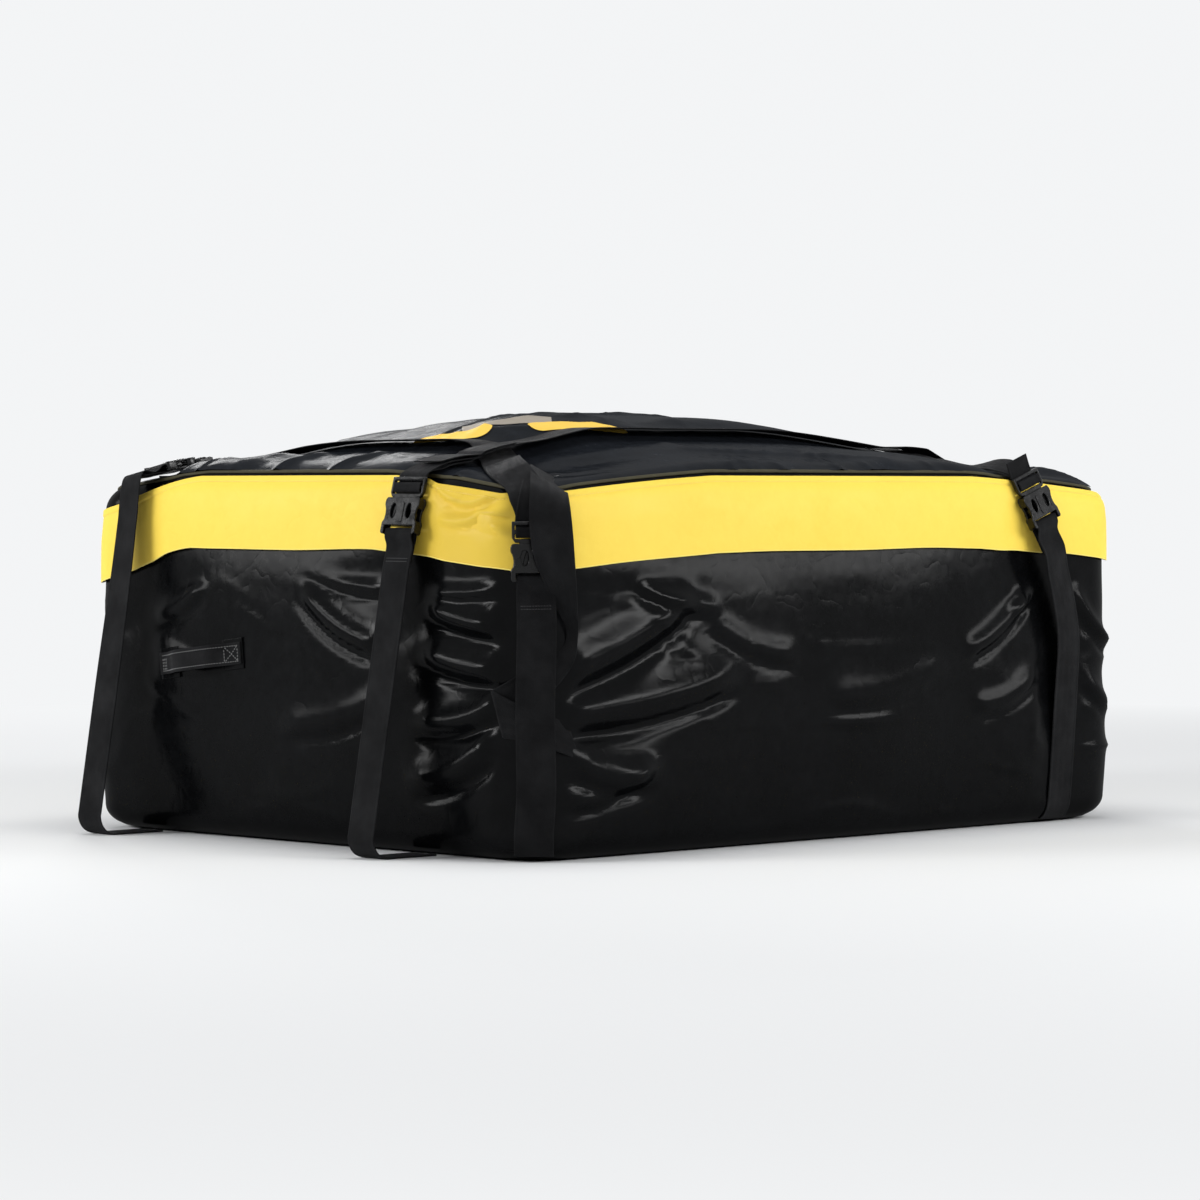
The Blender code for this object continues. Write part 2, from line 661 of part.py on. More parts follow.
def plug_mesh():
    """Ladder frame, centre guide and two bowed prongs, moulded in one."""
    inner_slot, outer_slot = ladder_levels()
    half = PLUG_FRAME_WIDTH / 2
    shoulder = inner_slot - LADDER_SLOT / 2 - LADDER_BAR
    tip = -PRONG_LENGTH
    span = PRONG_HALF_SPAN
    guide = GUIDE_WIDTH / 2
    arm = 0.0050
    right = [
        (half, PLUG_FRAME_END), (half, shoulder + 0.006), (half - 0.004, shoulder),
        (span - 0.0045, shoulder), (span - 0.0060, shoulder - 0.008), (span - 0.0030, tip * 0.45),
        (span, tip * 0.62), (span - 0.0012, tip * 0.86), (span - 0.0050, tip), (span - 0.0085, tip * 0.97),
        (span - arm - 0.0045, tip * 0.70), (span - arm - 0.0072, tip * 0.40),
        (span - arm - 0.0085, shoulder - 0.012), (span - arm - 0.0100, shoulder - 0.008),
        (guide + 0.0018, shoulder - 0.008), (guide, shoulder - 0.011), (guide, tip * 0.93),
        (guide - 0.0015, tip),
    ]
    left = [(-x, y) for x, y in reversed(right)]
    slots = [slot_outline(inner_slot, LADDER_SLOT), slot_outline(outer_slot, LADDER_SLOT)]
    return plate("buckle_plug", [right + left, *slots], PLUG_BACK, PLUG_BACK + PLUG_THICKNESS)


def socket_mesh(cutters):
    """Hollow housing with a mouth for the plug, windows in its sides and a bar for the sewn loop."""
    half = SOCKET_WIDTH / 2
    end = -SOCKET_LENGTH
    right = [(half - 0.003, 0.0), (half, -0.004), (half, -0.011), (half - 0.0025, -0.022), (half, -0.033),
             (half, end + 0.002), (half - 0.002, end)]
    outline = right + [(-x, y) for x, y in reversed(right)]
    slot = slot_outline(end + SOCKET_BAR + SOCKET_SLOT / 2, SOCKET_SLOT)
    shell = plate("buckle_socket", [outline, slot], SOCKET_BACK, SOCKET_FRONT)
    body = bpy.data.objects.new("socket_form", shell)
    cutters.objects.link(body)
    clear = CAVITY_CLEARANCE
    low, high = PLUG_BACK - clear, PLUG_BACK + PLUG_THICKNESS + clear
    bar_top = SOCKET_BAR_BACK + SOCKET_BAR_THICKNESS
    bar_y = end + (SOCKET_BAR + SOCKET_SLOT) / 2 - 0.01
    bar_run = SOCKET_BAR + SOCKET_SLOT + 0.02
    tools = (
        ("mouth", (2 * (PRONG_HALF_SPAN + clear), PRONG_LENGTH + clear + 0.01, high - low),
         (0.0, (0.01 - PRONG_LENGTH - clear) / 2, (low + high) / 2)),
        ("window", (SOCKET_WIDTH + 0.02, 0.013, high - low + 0.0016), (0.0, -0.0225, (low + high) / 2)),
        ("throat", (0.018, 0.014, 0.01), (0.0, -0.001, high + 0.004)),
        ("bar_back", (WEB_SLOT_WIDTH, bar_run, 0.01), (0.0, bar_y, SOCKET_BAR_BACK - 0.005)),
        ("bar_front", (WEB_SLOT_WIDTH, bar_run, 0.01), (0.0, bar_y, bar_top + 0.005)),
    )
    for name, size, middle in tools:
        cutter = box_object(f"socket_{name}", size, middle, cutters)
        step = body.modifiers.new(name, "BOOLEAN")
        step.operation = "DIFFERENCE"
        step.solver = "EXACT"
        step.object = cutter
    bpy.context.view_layer.update()
    graph = bpy.context.evaluated_depsgraph_get()
    made = bpy.data.meshes.new_from_object(body.evaluated_get(graph))
    made.name = "buckle_socket"
    bpy.data.objects.remove(body, do_unlink=True)
    form = bmesh.new()
    form.from_mesh(made)
    bmesh.ops.remove_doubles(form, verts=form.verts, dist=1e-6)
    bmesh.ops.dissolve_degenerate(form, edges=form.edges, dist=1e-6)
    bmesh.ops.triangulate(form, faces=form.faces, ngon_method="EAR_CLIP")
    form.to_mesh(made)
    form.free()
    return made


def box_object(name, size, middle, group):
    form = bmesh.new()
    bmesh.ops.create_cube(form, size=1.0)
    bmesh.ops.scale(form, vec=size, verts=form.verts)
    bmesh.ops.translate(form, vec=middle, verts=form.verts)
    mesh_data = bpy.data.meshes.new(name)
    form.to_mesh(mesh_data)
    form.free()
    made = bpy.data.objects.new(name, mesh_data)
    made.hide_render = True
    made.display_type = "WIRE"
    group.objects.link(made)
    return made


def buckle_frame(cover, path, mouth_at):
    """Where a buckle lies on a path: its matrix, with Y up the strap and Z away from the bag."""
    lengths = arc_lengths(path)
    below = np.array([np.interp(mouth_at + SOCKET_LENGTH, lengths, path[:, n]) for n in range(3)])
    above = np.array([np.interp(mouth_at - PLUG_FRAME_END, lengths, path[:, n]) for n in range(3)])
    middle = np.array([np.interp(mouth_at, lengths, path[:, n]) for n in range(3)])
    up = unit(above - below)
    away = outward(middle)
    away = unit(away - up * np.dot(away, up))
    # turn the buckle about the strap until it lies as flat as the surface does
    across = np.cross(up, away)
    probes = []
    for aside in (-1, 1):
        start = middle + across * aside * STRAP_WIDTH * 0.5 + away * 0.08
        found = cover.hit(start, -away, 0.2)
        probes.append(start - away * found[0] if found else start - away * 0.08)
    across = unit(probes[1] - probes[0])
    across = unit(across - up * np.dot(across, up))
    away = np.cross(across, up)
    tallest = -1.0
    for y in np.linspace(-SOCKET_LENGTH - SEWN_LOOP, PLUG_FRAME_END + 0.010, 13):
        for x in np.linspace(-SOCKET_WIDTH / 2, SOCKET_WIDTH / 2, 7):
            start = middle + up * y + across * x + away * 0.08
            found = cover.hit(start, -away, 0.2)
            if found:
                tallest = max(tallest, 0.08 - found[0])
    base = middle + away * (tallest + GAP)
    frame = Matrix.Identity(4)
    for n, direction in enumerate((across, up, away)):
        for row in range(3):
            frame[row][n] = direction[row]
    for row in range(3):
        frame[row][3] = base[row]
    return frame


def in_frame(frame, y, z, x=0.0):
    return np.array(frame @ Vector((x, y, z)))


def loose_tail(cover, frame, facing):
    """The long loose end at the near corner: folded over the lid's edge, hanging over the buckle, then
    tucked behind the strap below, folded once more and left with its cut end out to the right."""
    sideways = unit(np.cross((0.0, 0.0, 1.0), facing))
    middle = in_frame(frame, 0.0, 0.0)
    up = np.array((0.0, 0.0, 1.0))
    centres, wides = [], []
    for aside, above, lift, share, lean in TAIL_PATH:
        spot = np.array((middle[0], middle[1], WALL_HEIGHT + above)) + sideways * aside
        start = spot + facing * 0.3
        reach = cover.hit(start, -facing)[0]
        centres.append(start - facing * (reach - lift))
        turn = math.radians(lean)
        wides.append((sideways * math.cos(turn) + up * math.sin(turn)) * share)
    lifts = [knot[2] for knot in TAIL_PATH]
    return list(settle(cover, centres, wides, [facing] * len(centres), off=lifts)), wides


def gathered_tail(cover, path, mouth_at):
    """A long loose end that lies folded back on itself along its own strap, on the lid."""
    lengths = arc_lengths(path)
    centres, lifts = [], []
    for back, lift in GATHERED_PATH:
        centres.append([np.interp(mouth_at - back, lengths, path[:, n]) for n in range(3)])
        lifts.append(lift)
    centres = np.array(centres)
    _, wide, normal = frames_along(path)
    places = [np.argmin(np.abs(lengths - mouth_at + back)) for back, _ in GATHERED_PATH]
    wides = [wide[n] for n in places]
    return list(settle(cover, centres, wides, normal[places], off=lifts)), wides


def strap_end(name, frame, laid, finish, group, tail=None):
    """Webbing from its seam on the lid to the ladder of the plug, round the middle bar and back as a tail."""
    inner_slot, outer_slot = ladder_levels()
    over = PLUG_BACK + PLUG_THICKNESS + GAP + STRAP_THICKNESS / 2
    under = STRAP_THICKNESS / 2 + 0.0001
    second = under + STRAP_THICKNESS + 0.0004
    across = np.array(frame.col[0][:3])
    loop = [(inner_slot, under), (inner_slot, over), (outer_slot, over), (outer_slot, second),
            (PLUG_FRAME_END + 0.006, second)]
    if not tail:
        loop.append((PLUG_FRAME_END + TAIL_LENGTH, second + 0.0030))
    places = [in_frame(frame, y, z) for y, z in loop]
    wides = [across] * len(loop)
    if tail:
        side = np.sign(np.dot(tail[1][0], across))
        places += tail[0]
        wides += [wide * side for wide in tail[1]]
    centres = np.array([*laid[0], *places])
    wide = np.array([*laid[1], *wides])
    return ribbon(name, centres, wide, finish, group)


def base_tuck(cover, last, facing):
    """Points that take a strap round the bag's bottom edge."""
    centre = last - facing * BASE_EDGE_RADIUS
    centre[2] = BASE_EDGE_RADIUS
    places, normals = [], []
    for angle in np.radians((20.0, 42.0, 60.0)):
        away = facing * math.cos(angle) - np.array((0.0, 0.0, math.sin(angle)))
        found = cover.hit(centre + away * 0.1, -away)
        clear = (GAP + STRAP_THICKNESS / 2) / math.cos(math.radians(11.0)) + 0.0006
        places.append(centre + away * (0.1 - found[0] + clear))
        normals.append(away)
    return places, normals


def lower_strap(name, cover, frame, end, finish, group):
    """The strap below the buckle: out to the rack's rail and back under it, or down the wall."""
    path, mouth_at = end["path"], end["mouth_at"]
    bar_end = -SOCKET_LENGTH
    slot = bar_end + SOCKET_BAR + SOCKET_SLOT / 2
    under = STRAP_THICKNESS / 2 + 0.0001
    second = under + STRAP_THICKNESS + 0.0004
    over = SOCKET_BAR_BACK + SOCKET_BAR_THICKNESS + GAP + STRAP_THICKNESS / 2
    loop = [(bar_end - SEWN_LOOP, under), (slot, under), (slot, over), (bar_end - 0.0025, over),
            (bar_end - 0.016, second), (bar_end - SEWN_LOOP - 0.004, second)]
    start = [in_frame(frame, y, z) for y, z in loop]
    across, away = np.array(frame.col[0][:3]), np.array(frame.col[2][:3])
    facing = unit((end["facing"][0], end["facing"][1], 0.0))
    sideways = unit(np.cross(facing, (0.0, 0.0, 1.0)))
    if np.dot(sideways, across) < 0:
        sideways = -sideways
    lengths = arc_lengths(path)
    begin = mouth_at + SOCKET_LENGTH + SEWN_LOOP + 0.030
    down = spaced(path, begin, lengths[-1], WALL_KNOT_SPACING)
    _, _, normal = frames_along(down)
    turn = np.clip(np.linspace(0.3, 1.6, len(down)), 0.0, 1.0)[:, None]
    wide = across * (1 - turn) + sideways * turn
    wide /= np.linalg.norm(wide, axis=1)[:, None]
    if end["out"]:
        places = list(down)
        normals = [facing] * len(down)
        foot = down[-1]
        for angle in np.radians((30.0, 60.0, 90.0)):
            inward = facing * LEG_CURL_RADIUS * (1 - math.cos(angle))
            places.append(foot - inward - np.array((0.0, 0.0, LEG_CURL_RADIUS * math.sin(angle))))
        tuck = foot - facing * (np.dot(foot, facing) - np.dot(facing, facing * wall_distance(facing)))
        places.append(tuck - facing * BASE_EDGE_RADIUS * 0.4 + np.array((0.0, 0.0, LEG_FLOOR - foot[2])))
        normals += [facing] * 4
        held = 5
    else:
        places, normals = list(down), list(normal)
        more, faces = base_tuck(cover, down[-1], facing)
        places += more
        normals += faces
        held = 0
    extra = len(places) - len(down)
    points = np.array([start[-1], *places])
    wides = np.array([across, *wide, *[sideways] * extra])
    settled = settle(cover, points, wides, np.array([away, *normals]), held=held)
    centres = np.array([*start[:-1], *settled])
    all_wide = np.array([*[across] * (len(start) - 1), *wides])
    return ribbon(name, centres, all_wide, finish, group)


def wall_distance(facing):
    return HALF_LENGTH if abs(facing[0]) > 0.5 else HALF_WIDTH


def handle(side, cover, group, web, patch_finish):
    """Webbing grip sewn to the wall over two patches, bowed off it for the hand."""
    name = "left" if side < 0 else "right"
    middle_y = HALF_WIDTH - HANDLE_FROM_REAR
    facing = np.array((side, 0.0, 0.0))
    rise = unit((0.0, HANDLE_LENGTH, HANDLE_TILT * side))
    up = unit(np.cross(facing, rise)) * side

    def on_wall(along, lift):
        spot = np.array((side * (HALF_LENGTH + 0.2), middle_y, HANDLE_HEIGHT)) + rise * along
        nearest = min(cover.hit(spot + up * a, -facing)[0] for a in (-HANDLE_WIDTH / 2, 0.0, HANDLE_WIDTH / 2))
        return spot - facing * (nearest - lift)

    made = []
    for end, word in ((-1, "front"), (1, "rear")):
        spots = [on_wall(end * (HANDLE_LENGTH / 2 - PATCH_SIZE * 0.45) + d, GAP + PATCH_THICKNESS / 2)
                 for d in (-PATCH_SIZE / 2, 0.0, PATCH_SIZE / 2)]
        patch = ribbon(f"handle_patch_{name}_{word}", spots, [up] * 3, patch_finish, group,
                       width=PATCH_SIZE, thickness=PATCH_THICKNESS)
        made.append(patch)
    for patch in made:
        cover.add(patch)
    sewn = GAP + HANDLE_THICKNESS / 2
    half = HANDLE_LENGTH / 2
    places = []
    for share in (-1.0, -0.80, -0.66, -0.50, -0.25, 0.0, 0.25, 0.50, 0.66, 0.80, 1.0):
        bow = HANDLE_BOW * float(smooth((0.72 - abs(share)) / 0.45))
        places.append(on_wall(share * half, sewn + bow))
    ribbon(f"handle_{name}", places, [up] * len(places), web, group,
           width=HANDLE_WIDTH, thickness=HANDLE_THICKNESS)


def zip_sliders(cover, group, metal, cord):
    """Two sliders that meet under the flap, each with its pull. Their pieces share one travel along X."""
    length, depth, tall = ZIP_SLIDER
    for side, word in ((-1, "left"), (1, "right")):
        x = side * (ZIP_SLIDER_GAP + length / 2)
        start = np.array((x, HALF_WIDTH + 0.1, ZIP_HEIGHT))
        wall = min(cover.hit(start + np.array((dx, 0.0, dz)), (0.0, -1.0, 0.0))[0]
                   for dx in (-length / 2, length / 2) for dz in (-tall / 2, 0.0, tall / 2))
        y = start[1] - wall + GAP + depth / 2
        body = box_mesh(f"zip_slider_{word}", (length, depth, tall), 0.0014)
        item = add_object(f"zip_slider_{word}", body, metal, group)
        item.location = (x, y, ZIP_HEIGHT)
        pull = box_mesh(f"zip_pull_{word}", ZIP_PULL, 0.0006)
        tag = add_object(f"zip_pull_{word}", pull, cord, group)
        top = ZIP_HEIGHT - tall / 2 - GAP
        start = np.array((x, HALF_WIDTH + 0.1, top))
        wall = min(cover.hit(start + np.array((dx, 0.0, -dz * ZIP_PULL[2])), (0.0, -1.0, 0.0))[0]
                   for dx in (-ZIP_PULL[0], 0.0, ZIP_PULL[0]) for dz in (0.0, 0.25, 0.5, 0.75, 1.0))
        tag.location = (x, start[1] - wall + GAP + ZIP_PULL[1] / 2, top - ZIP_PULL[2] / 2)


def box_mesh(name, size, bevel):
    form = bmesh.new()
    bmesh.ops.create_cube(form, size=1.0)
    bmesh.ops.scale(form, vec=size, verts=form.verts)
    bmesh.ops.bevel(form, geom=form.edges[:], offset=bevel, segments=1, affect="EDGES")
    mesh_data = bpy.data.meshes.new(name)
    form.to_mesh(mesh_data)
    form.free()
    return mesh_data


def strap_ends():
    """The table of the eight strap ends.

    The axis each one runs along and the side it goes to, its place aside on the lid and at the wall, which
    way the wall faces there, the height of the buckle's mouth (or, below zero, its distance in from the
    wall on the lid), whether the strap below reaches out round the rack's rail, and where it turns from
    its line on the lid to its line on the wall, in radians above and below the lid's edge.
    """
    keys = ("axis", "side", "lid", "wall", "facing", "mouth", "out", "turn")
    front_y, rear_y = FRONT_STRAP_Y, REAR_STRAP_Y
    rear_wall_y = HALF_WIDTH - REAR_STRAP_WALL_INSET
    left_x, right_x = LEFT_STRAP_X, RIGHT_STRAP_X
    corner_x = -HALF_LENGTH + LEFT_STRAP_CORNER_INSET
    right_wall_x = HALF_LENGTH - RIGHT_STRAP_WALL_INSET
    mouth, high_mouth = WALL_HEIGHT - MOUTH_FROM_TOP, WALL_HEIGHT - HIGH_MOUTH_FROM_TOP
    corner_mouth = WALL_HEIGHT - CORNER_MOUTH_FROM_TOP
    high, low = (0.50, -0.05), (0.13, -0.48)
    table = {
        "front_left": (1, -1, left_x, corner_x, (-0.70, -0.71), corner_mouth, False, high),
        "rear_left": (1, 1, left_x, left_x, (0.0, 1.0), mouth, False, high),
        "front_right": (1, -1, right_x, right_wall_x, (0.0, -1.0), high_mouth, False, low),
        "rear_right": (1, 1, right_x, right_x, (0.0, 1.0), mouth, False, high),
        "left_front": (0, -1, front_y, front_y, (-1.0, 0.0), high_mouth, True, high),
        "right_front": (0, 1, front_y, front_y, (1.0, 0.0), mouth, True, high),
        "left_rear": (0, -1, rear_y, rear_wall_y, (-1.0, 0.0), -LID_MOUTH_INSET, True, high),
        "right_rear": (0, 1, rear_y, rear_wall_y, (1.0, 0.0), mouth, True, high),
    }
    return {name: dict(zip(keys, values), name=name) for name, values in table.items()}


def mouth_arc(end):
    """Arc length along its path at which the buckle's mouth lies."""
    path, lengths = end["path"], arc_lengths(end["path"])
    if end["mouth"] > 0:
        return lengths[np.nonzero(path[:, 2] > end["mouth"])[0][-1]]
    inside = np.abs(path[:, end["axis"]]) < (HALF_LENGTH, HALF_WIDTH)[end["axis"]] + end["mouth"]
    return lengths[np.nonzero(inside)[0][-1]]


def strap(name, first, second, cover, group, web, nylon, plug, socket):
    """One strap over the lid, with its two buckles and the straps below them."""
    for end in (first, second):
        end["path"] = laid_path(cover, end)
        end["mouth_at"] = mouth_arc(end)
    towards = spaced(first["path"], 0.0, first["mouth_at"] - LAP_START, LID_KNOT_SPACING)[::-1]
    away = spaced(second["path"], 0.0, second["mouth_at"] - LAP_START, LID_KNOT_SPACING)[1:]
    lap = [spaced(end["path"], end["mouth_at"] - LAP_START, end["mouth_at"] - LAP_END, LAP_START - LAP_END)[1:]
           for end in (first, second)]
    line = np.concatenate((lap[0], towards, away, lap[1]))
    _, wide, normal = frames_along(line)
    laid = settle(cover, line, wide, normal)
    cover.add(ribbon(name, laid, wide, web, group))
    for end in (first, second):
        path, mouth_at = end["path"], end["mouth_at"]
        frame = buckle_frame(cover, path, mouth_at)
        pivot = bpy.data.objects.new(f"release_{end['name']}", None)
        group.objects.link(pivot)
        pivot.matrix_world = frame
        pivot["travel"] = RELEASE_TRAVEL
        made = [add_object(f"buckle_plug_{end['name']}", plug, nylon, group, pivot),
                add_object(f"buckle_socket_{end['name']}", socket, nylon, group, pivot)]
        to_lap = spaced(path, mouth_at - LAP_START, mouth_at - LAP_END, LAP_START - LAP_END)
        to_buckle = spaced(path, mouth_at - LAP_END, mouth_at - PLUG_FRAME_END - 0.030, END_KNOT_SPACING)[1:]
        run = np.concatenate((to_lap, to_buckle))
        _, wide, normal = frames_along(run)
        across = np.array(frame.col[0][:3])
        if np.dot(wide[-1], across) < 0:
            wide = -wide
        turn = np.linspace(0.0, 1.0, len(run))[:, None] ** 2
        wide = wide * (1 - turn) + across * turn
        wide /= np.linalg.norm(wide, axis=1)[:, None]
        threaded = in_frame(frame, PLUG_FRAME_END + 0.008, STRAP_THICKNESS / 2 + 0.0001)
        run, wide = np.vstack((run, threaded)), np.vstack((wide, across))
        normal = np.vstack((normal, np.array(frame.col[2][:3])))
        laid = settle(cover, run, wide, normal, held=1)
        tail = None
        if end["name"] == "front_left":
            for item in made:
                cover.add(item)
            tail = loose_tail(cover, frame, unit((*end["facing"], 0.0)))
        if end["name"] == "left_front":
            tail = gathered_tail(cover, path, mouth_at)
        webbing = strap_end(f"strap_end_{end['name']}", frame, (laid, wide), web, group, tail)
        if tail:
            cover.add(webbing, below=TAIL_TUCK_HEIGHT)
        made.append(lower_strap(f"lower_strap_{end['name']}", cover, frame, end, web, group))
        for item in (*made, webbing):
            cover.add(item)


def main():
    empty_scene()
    bag = collection("rooftop_cargo_bag")
    cutters = collection("cutters")
    vinyl = finish_of("coated_fabric_black", (0.012, 0.013, 0.014), 0.35)
    yellow = finish_of("coated_fabric_yellow", (0.90, 0.66, 0.06), 0.50)
    web = finish_of("webbing_black", (0.020, 0.020, 0.021), 0.85)
    nylon = finish_of("moulded_nylon_black", (0.015, 0.015, 0.016), 0.45)
    zip_finish = finish_of("zip_black", (0.02, 0.02, 0.02), 0.60)

    cover = Cover()
    for item in (bag_body(bag, vinyl), zip_tape(bag, zip_finish)):
        cover.add(item)
    zip_sliders(cover, bag, nylon, web)
    cover.add(storm_flap(bag, yellow))
    for side in (-1, 1):
        handle(side, cover, bag, web, vinyl)

    # the two straps across the bag first, then the two lengthwise over them
    plug, socket = plug_mesh(), socket_mesh(cutters)
    ends = strap_ends()
    spans = (("lid_strap_left", "front_left", "rear_left"), ("lid_strap_right", "front_right", "rear_right"),
             ("lid_strap_front", "left_front", "right_front"), ("lid_strap_rear", "left_rear", "right_rear"))
    for name, first, second in spans:
        strap(name, ends[first], ends[second], cover, bag, web, nylon, plug, socket)


main()
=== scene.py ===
# %% [markdown]
# # A rooftop cargo bag, packed full and strapped down
# The real bag is sewn from a glossy coated fabric, closed by a zip under a yellow storm flap, and held to
# a roof rack by four webbing straps with side-release buckles. The CAD model already has every piece in
# its place. This file gives each piece the look of the real one: folds, weave, stitches and finishes.
#
# The imported model is loaded first. It is the fixed frame: nothing in it is moved, and each new piece goes
# where the CAD says.

# %% Load the frame
import json
import math

import bmesh
import bpy
import numpy as np
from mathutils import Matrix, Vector
from mathutils.bvhtree import BVHTree
from mathutils.kdtree import KDTree


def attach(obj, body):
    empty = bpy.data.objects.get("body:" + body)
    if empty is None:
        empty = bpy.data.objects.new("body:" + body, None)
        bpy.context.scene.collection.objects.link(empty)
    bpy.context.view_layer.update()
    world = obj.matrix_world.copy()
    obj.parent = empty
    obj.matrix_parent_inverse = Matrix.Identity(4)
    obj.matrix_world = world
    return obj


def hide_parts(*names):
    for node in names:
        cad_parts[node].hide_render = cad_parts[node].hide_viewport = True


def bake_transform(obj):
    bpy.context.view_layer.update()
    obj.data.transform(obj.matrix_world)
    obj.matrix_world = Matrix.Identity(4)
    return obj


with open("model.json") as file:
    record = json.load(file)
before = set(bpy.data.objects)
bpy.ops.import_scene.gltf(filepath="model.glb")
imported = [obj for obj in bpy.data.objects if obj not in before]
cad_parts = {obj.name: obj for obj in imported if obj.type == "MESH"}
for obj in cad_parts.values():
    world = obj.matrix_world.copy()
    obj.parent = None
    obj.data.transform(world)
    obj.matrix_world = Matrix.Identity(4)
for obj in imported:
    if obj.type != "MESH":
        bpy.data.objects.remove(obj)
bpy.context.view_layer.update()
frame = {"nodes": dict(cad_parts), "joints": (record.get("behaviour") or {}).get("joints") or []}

# %% [markdown]
# ## Camera
# A photograph of a low object taken from some way off has hardly any perspective. The camera could be
# placed by trying, but the vanishing of the two long edges gives its place: about 5.5 m from the near
# corner, at the height of the lid, looking along the ground at 44 degrees to the long wall.

# %% Place the camera
CAMERA_PLACE = (-4.37063, -4.44082, 0.47)
CAMERA_LOOK = (0.699445, 0.714250, -0.024992)
CAMERA_LENS = 132.0

camera = bpy.data.objects.new("camera", bpy.data.cameras.new("camera"))
camera.data.lens = CAMERA_LENS
camera.data.sensor_width = 36.0
camera.location = CAMERA_PLACE
camera.rotation_euler = Vector(CAMERA_LOOK).to_track_quat("-Z", "Y").to_euler()
bpy.context.scene.collection.objects.link(camera)
bpy.context.scene.camera = camera
print("camera", CAMERA_PLACE, "lens", CAMERA_LENS, "mm")

# %% [markdown]
# ## Studio
# Glossy black fabric shows its folds only by what it reflects, so the light matters more than the colour.
# One broad soft box in front and above draws a highlight on each fold, and one on the left does so for the
# short wall. One above and one behind do the same for the lid and the far walls. Two dim, low ones stand
# where the near walls mirror them, so that their slow swells show too. A pale world fills the rest. Sun
# lamps would be simpler, but they leave hard sparks on a glossy coating.


# %% Light the studio
def soft_box(name, place, aim, size, watts):
    lamp = bpy.data.lights.new(name, "AREA")
    lamp.shape = "RECTANGLE"
    lamp.size, lamp.size_y = size
    lamp.energy = watts
    made = bpy.data.objects.new(name, lamp)
    made.location = place
    made.rotation_euler = (Vector(aim) - Vector(place)).to_track_quat("-Z", "Y").to_euler()
    bpy.context.scene.collection.objects.link(made)


# place, what it is aimed at, width and height in metres, power in watts
soft_box("key_light", (0.9, -3.9, 2.2), (0.0, 0.0, 0.3), (2.2, 0.75), 84.0)
soft_box("left_light", (-4.2, 1.6, 2.0), (0.0, 0.0, 0.3), (1.6, 0.75), 94.0)
soft_box("top_light", (-0.2, -0.2, 3.4), (0.0, 0.0, 0.4), (1.8, 1.2), 40.0)
soft_box("front_sheen", (2.8, -3.5, 1.25), (0.0, -0.4, 0.3), (2.2, 0.6), 38.0)
soft_box("left_sheen", (-3.5, 2.8, 1.25), (-0.5, 0.0, 0.3), (2.0, 0.6), 38.0)
soft_box("rear_light", (2.3, 4.1, 2.1), (0.0, 0.0, 0.4), (1.5, 0.7), 58.0)
print("soft boxes", len(bpy.data.lights))

# %% Pale world
PALE = (0.90, 0.91, 0.92)
# how much of the pale world lights the bag; the camera and the shiny surfaces see all of it
WORLD_SHARE = 0.28

world = bpy.data.worlds.new("studio")
bpy.context.scene.world = world
world.use_nodes = True
sky = world.node_tree
lit = sky.nodes["Background"]
lit.inputs["Color"].default_value = (*PALE, 1.0)
lit.inputs["Strength"].default_value = WORLD_SHARE
seen = sky.nodes.new("ShaderNodeBackground")
seen.inputs["Color"].default_value = (*PALE, 1.0)
rays = sky.nodes.new("ShaderNodeLightPath")
sees = rays.outputs["Is Camera Ray"]
for kind in ("Is Glossy Ray", "Is Transmission Ray"):
    either = sky.nodes.new("ShaderNodeMath")
    either.operation = "MAXIMUM"
    sky.links.new(sees, either.inputs[0])
    sky.links.new(rays.outputs[kind], either.inputs[1])
    sees = either.outputs[0]
choose = sky.nodes.new("ShaderNodeMixShader")
sky.links.new(sees, choose.inputs[0])
sky.links.new(lit.outputs[0], choose.inputs[1])
sky.links.new(seen.outputs[0], choose.inputs[2])
sky.links.new(choose.outputs[0], sky.nodes["World Output"].inputs["Surface"])

# %% Floor
FLOOR_HALF = 14.0

floor_form = bmesh.new()
bmesh.ops.create_grid(floor_form, x_segments=2, y_segments=2, size=FLOOR_HALF)
floor_mesh = bpy.data.meshes.new("floor")
floor_form.to_mesh(floor_mesh)
floor_form.free()
floor = bpy.data.objects.new("floor", floor_mesh)
bpy.context.scene.collection.objects.link(floor)
bpy.context.scene.view_settings.view_transform = "Standard"
print("floor", tuple(round(v, 1) for v in floor.dimensions))

# %% [markdown]
# ## Finishes
# Every finish is a small network of nodes, so that it holds at any distance and exports as numbers. A
# photograph wrapped round the form would be quicker, but it would carry the light of one day with it.
# The helper below starts a material and gives short names to its tree, so each finish can be read at once.


